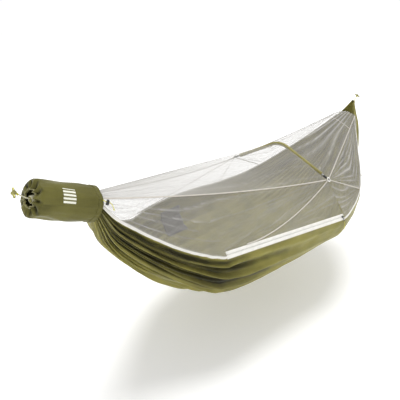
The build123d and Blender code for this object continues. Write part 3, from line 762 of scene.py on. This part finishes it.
def net_panel(name, node, rows, folds, pull, depth_of_fold=0.0045,
              sag=0.0, seed=1.0, body="hammock", fold_cover=1.0, gathered=0.0):
    """Net sheet with lengthwise folds; pull(t) says how strong they are along the sheet."""
    columns = len(rows[0])
    count = len(rows)

    def edge(c):
        return ease(min(c, 1 - c) * 12)

    def shift(r, c):
        fold = fold_pattern(c, r, folds, seed) * pull(r)
        soft = 0.0022 * wander(r * 3.3, c * 6.0, seed * 2.3)
        return (fold * depth_of_fold + soft + sag * 4 * c * (1 - c) * sin(pi * r)) * edge(c)

    density_and_painted_shade = []
    for r in range(count):
        t = r / (count - 1)
        density_and_painted_shade += [clamp(fold_pattern(c / (columns - 1), t, folds, seed) * pull(t) * fold_cover
                        + gathered * t ** 2) for c in range(columns)]
    sheet = grid_object(name, shifted(rows, shift), net, density_and_painted_shade=density_and_painted_shade)
    place(sheet, body, "net_mesh", node)
    return sheet


def top_rows(row_x, row_half, row_z, row_drop, seam, pole_side, count, columns=61):
    """Net rows between a short gathered edge and the arch of the pole, from the pole to that edge."""
    rows = []
    for k in range(count):
        t = k / (count - 1)
        row = []
        for c in range(columns):
            v = 2 * c / (columns - 1) - 1
            arch = pole_point(POLE_HALF * v) + Vector((pole_side * (SLEEVE_R + 0.0006), 0, 0.001))
            end = Vector((row_x, row_half * v, row_z - row_drop * v * v))
            side = NEAR if v < 0 else FAR
            corner = Vector((row_x, row_half * side, row_z - row_drop))
            straight_edge = mix(pole_point(POLE_HALF * side), corner, t)
            row.append(mix(arch, end, t) + (seam(side, t) - straight_edge) * abs(v) ** 3)
        rows.append(row)
    return rows


def side_rows(xs, top, bottom, columns=33):
    """Net rows between an upper and a lower edge that are given by x."""
    return [[mix(top(x), bottom(x), c / (columns - 1)) for c in range(columns)] for x in xs]


def spread(start, end, count):
    return [mix(start, end, k / (count - 1)) for k in range(count)]


def foot_top(side):
    return lambda x: foot_seam(side, (x - FOOT_END[side].x) / (PEG[side].x - FOOT_END[side].x))


def head_top(side):
    return lambda x: head_seam(side, (x - PEG[side].x) / (HEAD_END[side].x - PEG[side].x))


def side_net(label, side):
    """The three net panels below one side's seams."""
    corner_x = CORNER[side].x
    head_corner = above_rim(HEAD_CORNER_X, side)

    def foot_bottom(x):
        return above_rim(x, side) if x < corner_x - 0.004 else at_x(CORNER[side], PEG[side], x)

    def head_bottom(x):
        return at_x(PEG[side], head_corner, x) if x < HEAD_CORNER_X else above_rim(x, side)

    foot_xs = spread(-0.955, corner_x - 0.0045, 44) + spread(corner_x, PEG[side].x - 0.012, 60)
    net_panel(f"{label}_foot_net", f"net_{label}_foot", side_rows(foot_xs, foot_top(side), foot_bottom),
              5, lambda t: 0.9 * exp(-t * 3.4) + 0.12, seed=3.1 + side, sag=0.004 * side)
    head_xs = spread(PEG[side].x + 0.006, 1.046, 90)
    net_panel(f"{label}_head_net", f"net_{label}_head", side_rows(head_xs, head_top(side), head_bottom),
              7, lambda t: 0.55 + 0.45 * t, seed=5.3 + side, fold_cover=1.1)


def far_middle_net():
    def top(x):
        end = CORNER[FAR] if x < PEG[FAR].x else above_rim(HEAD_CORNER_X, FAR)
        return at_x(PEG[FAR], end, x)

    xs = spread(CORNER[FAR].x + 0.002, HEAD_CORNER_X - 0.003, 90)
    net_panel("far_middle_net", "net_far_middle", side_rows(xs, top, lambda x: above_rim(x, FAR)),
              4, lambda t: 0.18, seed=9.2)


def gusset_net():
    corner = above_rim(HEAD_CORNER_X, NEAR)
    xs = spread(POLE_X, HEAD_CORNER_X - 0.003, 40)
    rows = side_rows(xs, lambda x: at_x(PEG[NEAR], corner, x), lambda x: above_rim(x, NEAR))
    net_panel("near_gusset_net", "net_near_gusset", rows, 5, lambda t: 0.7 - 0.4 * t,
              seed=7.4)


def swing(obj):
    """Bake a piece of the door's transform into its mesh."""
    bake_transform(obj)
    return obj


def door_net():
    rows = []
    for t in spread(0.002, 1, 110):
        low = door_point(ZIP_LENGTH * t, DOOR_FOOT - 0.003)
        high = door_point(PEG_S * t, mix(SEAM_FOOT, PEG_U, t))
        rows.append([mix(high, low, v) for v in spread(0, 1, 33)])

    def shift(r, c):
        loose = 0.0028 * wander(r * 5, c * 5, 4.4) + 0.003 * fold_pattern(c, r, 4, 2.2) * 0.4
        return loose * ease(min(c, 1 - c) * 10)

    density_and_painted_shade = [0.3 * fold_pattern(c / 32, r / 109, 4, 2.2) for r in range(110) for c in range(33)]
    sheet = grid_object("door_net", shifted(rows, shift), net, density_and_painted_shade=density_and_painted_shade)
    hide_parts("net_door")
    swing(sheet)


def door_seam_u(s):
    """Height of the curved seam above the rim, at a place along the zipper."""
    return DOOR_FOOT + 0.005 + (PEG_U - DOOR_FOOT - 0.005) * max(0.0, (s - 0.15) / (PEG_S - 0.15)) ** 1.6


def seam_tape(name, path, facing, width=0.0055):
    return ribbon(name, path, [facing] * len(path), width, 0.0014, seam_white)


def make_seams():
    door_path = [door_point(s, door_seam_u(s), 0.0016) for s in spread(0.12, PEG_S - 0.008, 60)]
    door_tape = seam_tape("door_seam", door_path, DOOR_OUT)
    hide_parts("door_seam_tape")
    swing(door_tape)
    for label, side in (("near", NEAR), ("far", FAR)):
        facing = Vector((0, side * 0.8, 0.6))
        lift = facing.normalized() * 0.0012
        foot = [foot_seam(side, t) + lift for t in spread(0.0, 0.99, 50)]
        head = [head_seam(side, t) + lift for t in spread(0.012, 0.99, 40)]
        corner = [mix(PEG[side], above_rim(HEAD_CORNER_X, side), t) + lift for t in spread(0.04, 0.99, 24)]
        nodes = (f"net_{label}_seam_tapes",)
        place(seam_tape(f"{label}_foot_seam", foot, facing), "hammock", "white_tape", *nodes)
        place(seam_tape(f"{label}_head_seam", head, facing), "hammock", "white_tape")
        place(seam_tape(f"{label}_corner_seam", corner, facing, 0.005), "hammock", "white_tape")
    far_facing = Vector((0, 0.8, 0.6))
    low = [mix(PEG[FAR], CORNER[FAR], t) + far_facing * 0.001 for t in spread(0.02, 0.99, 40)]
    place(seam_tape("far_door_side_seam", low, far_facing, 0.005), "hammock", "white_tape")
    drop = [mix(PEG[FAR], above_rim(POLE_X, FAR), t) + far_facing * 0.001 for t in spread(0.06, 0.99, 16)]
    place(seam_tape("far_drop_seam", drop, far_facing, 0.004), "hammock", "white_tape")


def make_net():
    foot_rows = top_rows(-0.955, 0.022, -0.052, 0.010, lambda side, t: foot_seam(side, 1 - t), -1, 90)
    net_panel("top_foot_net", "net_top_foot", foot_rows, 11, lambda t: 0.12 + 0.95 * t ** 1.8,
              depth_of_fold=0.005, seed=1.7, gathered=0.9)
    head_rows = top_rows(1.052, 0.062, -0.052, 0.020, head_seam, 1, 80)
    net_panel("top_head_net", "net_top_head", head_rows, 10, lambda t: 0.25 + 0.85 * t ** 0.7,
              depth_of_fold=0.0075, seed=4.6, fold_cover=1.2)
    cross = [p + UP * 0.001 for p in head_rows[60]]
    place(seam_tape("head_cross_seam", cross, UP, 0.005), "hammock", "white_tape")
    side_net("near", NEAR)
    side_net("far", FAR)
    far_middle_net()
    gusset_net()
    door_net()
    make_seams()


# ---- zipper ----
def zip_tape(name, low, high, start, end, material, lift=0.0):
    path = [door_point(s, (low + high) / 2, lift + 0.0006 * wander(s, low, size=0.03))
            for s in spread(start, end, int((end - start) / 0.006))]
    return ribbon(name, path, [DOOR_OUT] * len(path), high - low, 0.0013, material)


def coil(name, start, end, low, high, offset):
    """One half of a coil zipper: a row of rounded teeth joined by their inner cord."""
    pitch = 0.0021
    points = []
    faces = []
    sides = 6
    s = start + offset * pitch
    while s < end:
        base = len(points)
        for u, half in ((low, 0.0007), (mix(low, high, 0.2), 0.0010),
                        (mix(low, high, 0.85), 0.0011), (high, 0.0007)):
            for j in range(sides):
                turn = tau * j / sides
                points.append(door_point(s + 0.62 * half * cos(turn), u, half * 1.15 * sin(turn)))
        faces += [tuple(i + base for i in face) for face in grid_faces(4, sides, closed=True)]
        faces.append(tuple(base + j for j in reversed(range(sides))))
        faces.append(tuple(base + 3 * sides + j for j in range(sides)))
        s += pitch
    return mesh_object(name, points, faces, coil_plastic)


def make_zipper():
    lower = zip_tape("zipper_lower_cloth", -0.0035, 0.0110, 0.001, ZIP_LENGTH - 0.001, white_tape)
    place(lower, "hammock", "white_tape", "zipper_lower_tape")
    place(coil("zipper_lower_teeth", 0.008, ZIP_LENGTH - 0.006, 0.0098, 0.0133, 0.0),
          "hammock", "zipper_plastic", "zipper_lower_coil")
    upper = zip_tape("zipper_upper_cloth", 0.0152, 0.0275, 0.001, ZIP_LENGTH - 0.001, white_tape)
    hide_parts("zipper_upper_tape")
    swing(upper)
    teeth = coil("zipper_upper_teeth", 0.008, ZIP_LENGTH - 0.006, 0.0161, 0.0126, 0.5)
    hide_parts("zipper_upper_coil")
    swing(teeth)


# ---- pole sleeve, corner tabs, pocket and rim loop ----
def make_sleeve():
    ys = spread(-(POLE_HALF - SLEEVE_END), POLE_HALF - SLEEVE_END, 150)
    path = [pole_point(y) for y in ys]
    rows = []
    sides = 28
    for k, point in enumerate(path):
        way = (path[min(k + 1, len(path) - 1)] - path[max(k - 1, 0)]).normalized()
        up = Vector((0, -way.z, way.y)) * (1 if way.y > 0 else -1)
        t = k / (len(path) - 1)
        hem = 0.0004 if min(t, 1 - t) < 0.03 else 0.0
        row = []
        for j in range(sides):
            turn = tau * j / sides
            crease = 0.0006 * wander(ys[k] * 60 + 2 * cos(turn), sin(turn) * 2, 8.8)
            radius = SLEEVE_R - 0.0004 + crease + hem + 0.0022 * max(0, -sin(turn)) ** 6
            row.append(point + (Vector((1, 0, 0)) * cos(turn) + up * sin(turn)) * radius)
        rows.append(row)
    sleeve = grid_object("pole_sleeve_cloth", rows, sleeve_cloth, closed=True)
    thicken(sleeve, 0.0006, -1.0)
    place(sleeve, "hammock", "sleeve_fabric", "pole_sleeve")


def lathe(name, centre, axis, profile, material, sides=48, wobble=0.0):
    """Closed ring round an axis, from (radius, height) pairs that go once round its section."""
    across = axis.orthogonal().normalized()
    other = axis.cross(across)
    rows = []
    for k in range(sides + 1):
        turn = tau * k / sides
        out = across * cos(turn) + other * sin(turn)
        grow = 1 + wobble * wander(cos(turn) * 1.7, sin(turn) * 1.7, 6.1)
        rows.append([centre + out * (r * grow) + axis * h for r, h in profile])
    return grid_object(name, rows, material, closed=True)


def make_corner_tabs():
    facing = Vector((0, 0.85, 0.52)).normalized()
    rounded = [(0.0062, 0.0004), (0.0062, 0.0016), (0.0075, 0.0022), (0.0118, 0.0022), (0.0136, 0.0017),
               (0.0141, 0.001), (0.0136, 0.0003), (0.0118, -0.0001), (0.0075, -0.0001)]
    tabs = []
    rims = []
    for label, side in (("near", NEAR), ("far", FAR)):
        axis = Vector((0, side * facing.y, facing.z))
        back = PEG[side] + axis * 0.0025
        tabs.append(lathe(f"{label}_tab", back, axis, rounded, white_tape, wobble=0.03))
        lip = [(0.0035, 0.0002), (0.0035, 0.0018), (0.0039, 0.0025), (0.0050, 0.0027), (0.0060, 0.0024),
               (0.0060, -0.0004), (0.0048, -0.0007), (0.0039, -0.0005)]
        rims.append(lathe(f"{label}_eyelet", back, axis, lip, dark_metal, sides=32))
    place(joined("corner_tab_cloth", tabs), "hammock", "white_tape", "corner_tabs")
    place(joined("corner_eyelet_rims", rims), "hammock", "dark_metal", "corner_eyelets")


def make_pocket():
    rows = []
    for x in spread(-0.30, -0.13, 36):
        share = (x + 0.30) / 0.17
        row = []
        for angle in spread(140, 170, 36):
            across = (angle - 140) / 30
            puff = 0.006 * abs(sin(pi * share)) ** 0.6 * abs(sin(pi * clamp(across * 0.85))) ** 0.7
            crease = 0.0007 * wander(x * 40, angle / 4, 3.9)
            row.append(cloth(x, angle, -0.0052 - puff - crease))
        rows.append(row)
    pocket = grid_object("gear_pocket", rows, pocket_cloth)
    thicken(pocket, 0.0008)
    place(pocket, "hammock", "pocket_fabric", "storage_pocket")
    hem = [rows[k][-1] - outward(-0.30 + 0.17 * k / 35, 170) * 0.0006 for k in range(36)]
    place(ribbon("gear_pocket_hem", hem, [Vector((0, -0.7, 0.7))] * 36, 0.010, 0.0016, pocket_cloth),
          "hammock", "pocket_fabric")


def make_rim_loop():
    centre = rim(0.69, NEAR) + Vector((0, -0.0075, 0.003))
    path = []
    for k in range(29):
        turn = tau * (k / 28 * 0.94 + 0.03)
        path.append(centre + Vector((0, 0.0037 * cos(turn), 0.0061 * sin(turn))))
    facings = [(p - centre).normalized() for p in path]
    loop = ribbon("rim_gear_loop", path, facings, 0.009, 0.0011, white_tape)
    place(loop, "hammock", "white_tape", "rim_loop")


# ---- stuff sack ----
SACK_SLOPE = radians(21.7)
SACK_WAY = Vector((cos(SACK_SLOPE), 0, -sin(SACK_SLOPE)))
SACK_UP = Vector((sin(SACK_SLOPE), 0, cos(SACK_SLOPE)))
SACK_START = Vector((-1.160, 0, -0.010))
SACK_R = 0.064


def sack_out(angle):
    """Direction away from the sack's axis, at degrees up from the zipped side."""
    return Vector((0, -cos(radians(angle)), 0)) + SACK_UP * sin(radians(angle))


def sack_crease(s, angle):
    """Shift of the sack's cloth: long dents, cross creases and its gathers near both ends."""
    turn = radians(angle)
    around = (cos(turn), sin(turn))
    dents = 0.0038 * wander(s * 9, around[0] * 1.6, around[1] * 1.6 + 3)
    slanted = 0.0026 * wander(s * 20 + around[0] * 3, around[1] * 3.4, 5.5)
    gather_start = exp(-s / 0.028) * 0.0022 * wander(around[0] * 7, around[1] * 7, s * 8)
    gather_end = exp(-(0.201 - s) / 0.022) * 0.0018 * wander(around[0] * 8, around[1] * 8, s * 10 + 9)
    slump = -0.0022 * max(0, sin(turn)) * sin(pi * clamp(s / 0.2))
    return dents + slanted + gather_start + gather_end + slump


def sack_point(s, radius, angle):
    return SACK_START + SACK_WAY * s + sack_out(angle) * radius


PUCKERS = 10


def pucker_fold(angle):
    fold = angle / 360 * PUCKERS + 0.45 * wander(cos(radians(angle)) * 2.2, sin(radians(angle)) * 2.2, 1.9)
    return crest((abs(fold % 1.0 - 0.5) * 2) / 0.42) - 0.35


def make_sack():
    turns = 168
    angles = [360 * k / turns for k in range(turns)]
    rows = []
    for s in spread(0.203, 0.005, 52):
        rows.append([sack_point(s, SACK_R - 0.0012 + sack_crease(s, a), a) for a in angles])
    shoulder = [(0.0635, 0.0018), (0.0618, -0.0004), (0.0585, -0.0015), (0.0540, -0.0016), (0.0490, -0.0010),
                (0.0440, 0.0002), (0.0395, 0.0004), (0.0350, -0.0008), (0.0312, -0.0030)]
    for k, (r, s) in enumerate(shoulder):
        share = ease((k + 1) / len(shoulder))
        row = []
        for a in angles:
            fold = pucker_fold(a)
            crease = sack_crease(0.012, a) * (1 - share)
            row.append(sack_point(s - 0.0150 * fold * share, r - 0.0012 + crease - 0.0035 * fold * share, a))
        rows.append(row)
    # Painted shade: none on the sack's tube, dark in the valleys of the pucker folds at the gathered end.
    fold_shade = [0.0] * (turns * (len(rows) - len(shoulder)))
    for k in range(len(shoulder)):
        fold_shade += [clamp(0.25 - 3.2 * pucker_fold(a)) * ease((k + 3) / len(shoulder)) for a in angles]
    cloth_piece = grid_object("sack_cloth", rows, sack_cloth, closed=True, density_and_painted_shade=fold_shade,
                              uv_size=(0.40, 0.255))
    thicken(cloth_piece, 0.0011, -1.0)
    place(cloth_piece, "sack", "sack_fabric", "sack_tube", "sack_pucker")

    mouth = []
    for k in range(turns + 1):
        a = 360 * k / turns
        fold = pucker_fold(a)
        centre = sack_point(-0.0045 - 0.0075 * fold, 0.0298 - 0.0035 * fold, a)
        ring = []
        for j in range(10):
            turn = tau * j / 10
            ring.append(centre + sack_out(a) * (0.0021 * cos(turn)) + SACK_WAY * (0.0042 * sin(turn)))
        mouth.append(ring)
    channel = grid_object("sack_mouth_channel", mouth, hem_cloth, closed=True)
    place(channel, "sack", "sack_fabric", "sack_pucker_hem")

    outline = [(0.0634, 0.2010), (0.0650, 0.2022), (0.0655, 0.2070), (0.0650, 0.2120), (0.0654, 0.2180),
               (0.0650, 0.2222), (0.0641, 0.2230), (0.0630, 0.2222), (0.0625, 0.2150),
               (0.0622, 0.2070), (0.0626, 0.2012)]
    hem = []
    for k in range(turns + 1):
        a = 360 * k / turns
        gathers = 0.0019 * wander(cos(radians(a)) * 9, sin(radians(a)) * 9, 4.2)
        crease = sack_crease(0.2, a) * 0.7 - 0.001
        hem.append([sack_point(s + 0.6 * gathers, r + crease + gathers, a) for r, s in outline])
    open_hem = grid_object("sack_open_hem_cloth", hem, sack_cloth, closed=True)
    place(open_hem, "sack", "sack_fabric", "sack_open_hem")
    seam = [sack_point(s, SACK_R + sack_crease(s, -112) + 0.0002, -112) for s in spread(0.016, 0.203, 40)]
    side_seam = ribbon("sack_side_seam", seam, [sack_out(-112)] * 40, 0.006, 0.0016, hem_cloth)
    place(side_seam, "sack", "sack_fabric")
    stitch_ring("sack_hem_stitches", (0.2045, 0.2195), 110)

    rows = []
    for s in spread(0.070, 0.116, 24):
        rows.append([sack_point(s, SACK_R - 0.0004 + sack_crease(s, a) + 0.0003, a)
                     for a in spread(5, 51, 24)])
    label = grid_object("sack_label_patch", rows, label_cloth)
    thicken(label, 0.0009, 1.0)
    place(label, "sack", "label_fabric", "sack_label")


def stitch_ring(name, places, count):
    """Thread stitches round the sack's open hem."""
    points = []
    faces = []
    for s in places:
        for k in range(count):
            start, end = 360 * k / count, 360 * (k + 0.62) / count
            base = len(points)
            for share in (0, 0.25, 0.75, 1):
                a = mix(start, end, share)
                gathers = 0.0019 * wander(cos(radians(a)) * 9, sin(radians(a)) * 9, 4.2)
                radius = 0.0654 + sack_crease(0.2, a) * 0.7 - 0.001 + gathers + 0.0004 * sin(pi * share)
                centre = sack_point(s, radius, a)
                for j in range(5):
                    turn = tau * j / 5
                    points.append(centre + (sack_out(a) * cos(turn) + SACK_WAY * sin(turn)) * 0.0004)
            faces += [tuple(i + base for i in face) for face in grid_faces(4, 5, closed=True)]
            faces.append(tuple(base + j for j in reversed(range(5))))
            faces.append(tuple(base + 15 + j for j in range(5)))
    place(mesh_object(name, points, faces, dark_thread), "sack", "sack_fabric")


# ---- cords, knots and whippings ----
def cord_curve(name, route, radius, material):
    """Cord along a smooth NURBS line with the route's points, in mm, as its control points."""
    curve = bpy.data.curves.new(name, "CURVE")
    curve.dimensions = "3D"
    curve.bevel_depth = radius
    curve.bevel_resolution = 4
    curve.resolution_u = 10
    curve.use_fill_caps = True
    spline = curve.splines.new("NURBS")
    spline.points.add(len(route) - 1)
    for point, place_mm in zip(spline.points, route):
        point.co = (*(c * MM for c in place_mm), 1)
    spline.order_u = 3
    spline.use_endpoint_u = True
    curve.materials.append(material)
    return new_object(name, curve)


def knot(name, centre, size, thread_radius, material, turn=0.0):
    """Overhand knot pulled tight, as a closed trefoil of cord."""
    spin = Matrix.Rotation(turn, 3, "X")
    path = []
    for k in range(72):
        t = tau * k / 72
        loop = Vector((sin(t) + 2 * sin(2 * t), cos(t) - 2 * cos(2 * t), -1.6 * sin(3 * t)))
        path.append(centre + spin @ loop * ((size - thread_radius) / 3))
    return tube_object(name, path, thread_radius, material, sides=10, closed_path=True)


def make_cords():
    left = cord_curve("left_cord", [(-1167.3, 0, -9), (-1182.1, 0, 1.6), (-1196.96, 0, 12.84)], 0.002, cream)
    right = cord_curve("right_cord", [(1167.3, 0, 2), (1183.9, 0, 12.6), (1200.42, 0, 23.61)], 0.002, yellow)
    left_knot = knot("left_cord_knot", Vector((-1.20058, 0, 0.015504)), 0.0046, 0.0015, yellow, 0.4)
    right_knot = knot("right_cord_knot", Vector((1.20419, 0, 0.026067)), 0.0046, 0.0015, yellow, -0.4)
    place(left, "hammock", "white_cord", "left_suspension_cord")
    place(right, "hammock", "yellow_cord", "right_suspension_cord")
    place(left_knot, "hammock", "yellow_cord", "left_knot")
    place(right_knot, "hammock", "yellow_cord", "right_knot")

    outer_route = [(233.615, -417.267, -441.261), (232.615, -421.267, -448.261),
                   (235.115, -420.767, -460.261), (232.615, -422.267, -471.261), (234.115, -421.267, -482.261)]
    inner_route = [(238.071, -397.362, -449.527), (239.571, -396.862, -458.527),
                   (237.571, -395.862, -468.527), (239.071, -396.862, -481.527)]
    for label, route, length in (("outer", outer_route, 0.0423), ("inner", inner_route, 0.0323)):
        cord = cord_curve(f"{label}_pull_braid", route, 0.0011, yellow)
        end = Vector(route[-1]) * MM + DOWN * 0.0022
        tail = knot(f"{label}_pull_end_knot", end, 0.0026, 0.0008, yellow, 0.9)
        place(cord, f"{label}_pull", "yellow_cord", f"{label}_pull_cord")
        place(tail, f"{label}_pull", "yellow_cord", f"{label}_pull_knot")

    drawcord_route = [(-946, -59.8, -63), (-942, -66, -71), (-927, -72, -75), (-920, -75, -87),
                      (-917.5, -77, -101)]
    drawcord = cord_curve("drawcord_braid", drawcord_route, 0.0012, yellow)
    tail = knot("drawcord_end_knot", Vector((-0.9175, -0.077, -0.1036)), 0.0030, 0.0009, yellow, 1.3)
    place(drawcord, "sack", "yellow_cord", "sack_drawcord")
    place(tail, "sack", "yellow_cord", "sack_drawcord_knot")


def whipping(label, x, z, side):
    """Cord wound tightly round the gathered end, with the cloth's pleated end beyond it."""
    turns, length, radius = 7, 0.016, 0.0012
    path = []
    for k in range(turns * 28 + 1):
        t = k / (turns * 28)
        turn = tau * turns * t
        path.append(Vector((x + side * (radius + (length - 2 * radius) * t),
                            0.0113 * cos(turn), z + 0.0113 * sin(turn))))
    place(tube_object(f"{label}_whipping_cord", path, radius, cream, sides=8),
          "hammock", "white_cord", f"{label}_whipping")
    rows = []
    for k in range(12):
        reach = k / 11 * pi / 2
        row = []
        for j in range(64):
            turn = tau * j / 64
            fold = 1 + 0.16 * sin(9 * turn + 1.3) * cos(reach)
            row.append(Vector((x + side * (0.0125 + 0.0048 * sin(reach)),
                               0.0098 * cos(reach) * fold * cos(turn),
                               z + 0.0098 * cos(reach) * fold * sin(turn))))
        rows.append(row)
    place(grid_object(f"{label}_gathered_end", rows, body_cloth, closed=True), "hammock", "body_fabric")


# ---- carried-over CAD nodes ----
def finish_cad_nodes():
    looks = {
        toggle_metal: ["left_toggle", "right_toggle"],
        pole_metal: ["pole_elbow", "pole_near_arm", "pole_far_arm", "pole_ferrules"],
        black_plastic: ["pole_tips", "cord_lock_barrel", "cord_lock_button"],
        dark_metal: ["zipper_slider", "slider_bails", "zipper_outer_pull", "zipper_inner_pull"],
        coil_plastic: ["zipper_stops"],
        spring_metal: ["cord_lock_spring"],
    }
    for material, names in looks.items():
        for name in names:
            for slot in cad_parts[name].material_slots:
                slot.material = material


# ---- floor, light and camera ----
def make_stage():
    s = Surface("studio_floor", (0.94, 0.94, 0.94), 0.95, Emission_Strength=0.19)
    s.colours(s.noise(s.place(), 3, 2), (0.3, (0.935, 0.935, 0.935)), (0.7, (0.945, 0.945, 0.945)))
    size = 60
    floor = mesh_object("floor", [(-size, -size, FLOOR_Z), (size, -size, FLOOR_Z), (size, size, FLOOR_Z),
                                  (-size, size, FLOOR_Z)], [(0, 1, 2, 3)], s.material)
    make_world()
    sun = bpy.data.lights.new("key_sun", "SUN")
    sun.energy = 2.2
    sun.angle = radians(30)
    key = new_object("key_sun", sun)
    key.rotation_euler = Vector((-0.16, -0.10, -1.0)).to_track_quat("-Z", "Y").to_euler()
    view = bpy.context.scene.view_settings
    view.view_transform = "Standard"
    view.look = "None"


def make_world():
    """White studio: full white near the horizon and a dimmer ceiling."""
    world = bpy.data.worlds.new("studio")
    world.use_nodes = True
    nodes, links = world.node_tree.nodes, world.node_tree.links
    background = nodes["Background"]
    split = nodes.new("ShaderNodeSeparateXYZ")
    links.new(nodes.new("ShaderNodeTexCoord").outputs["Generated"], split.inputs[0])
    span = nodes.new("ShaderNodeMapRange")
    links.new(split.outputs["Z"], span.inputs["Value"])
    span.inputs["From Min"].default_value = 0.12
    span.inputs["From Max"].default_value = 0.6
    span.inputs["To Min"].default_value = 1.02
    span.inputs["To Max"].default_value = 0.62
    links.new(span.outputs[0], background.inputs["Strength"])
    background.inputs["Color"].default_value = (1, 1, 1, 1)
    bpy.context.scene.world = world


def make_camera():
    data = bpy.data.cameras.new("camera")
    data.sensor_width = 36
    data.lens = 38.7
    data.clip_end = 200
    camera = new_object("camera", data)
    camera.location = (-1.7218, -1.1840, 0.4754)
    yaw, pitch = radians(41.72), radians(22.11)
    way = Vector((cos(pitch) * cos(yaw), cos(pitch) * sin(yaw), -sin(pitch)))
    camera.rotation_euler = way.to_track_quat("-Z", "Y").to_euler()
    bpy.context.scene.camera = camera


make_camera()
make_cords()
make_body()
make_bindings()
make_net()
make_zipper()
make_sleeve()
make_corner_tabs()
make_pocket()
make_rim_loop()
make_sack()
whipping("left", -1.150, -0.013, -1)
whipping("right", 1.150, -0.002, 1)
finish_cad_nodes()
make_stage()
bpy.context.scene.cycles.transparent_max_bounces = 32
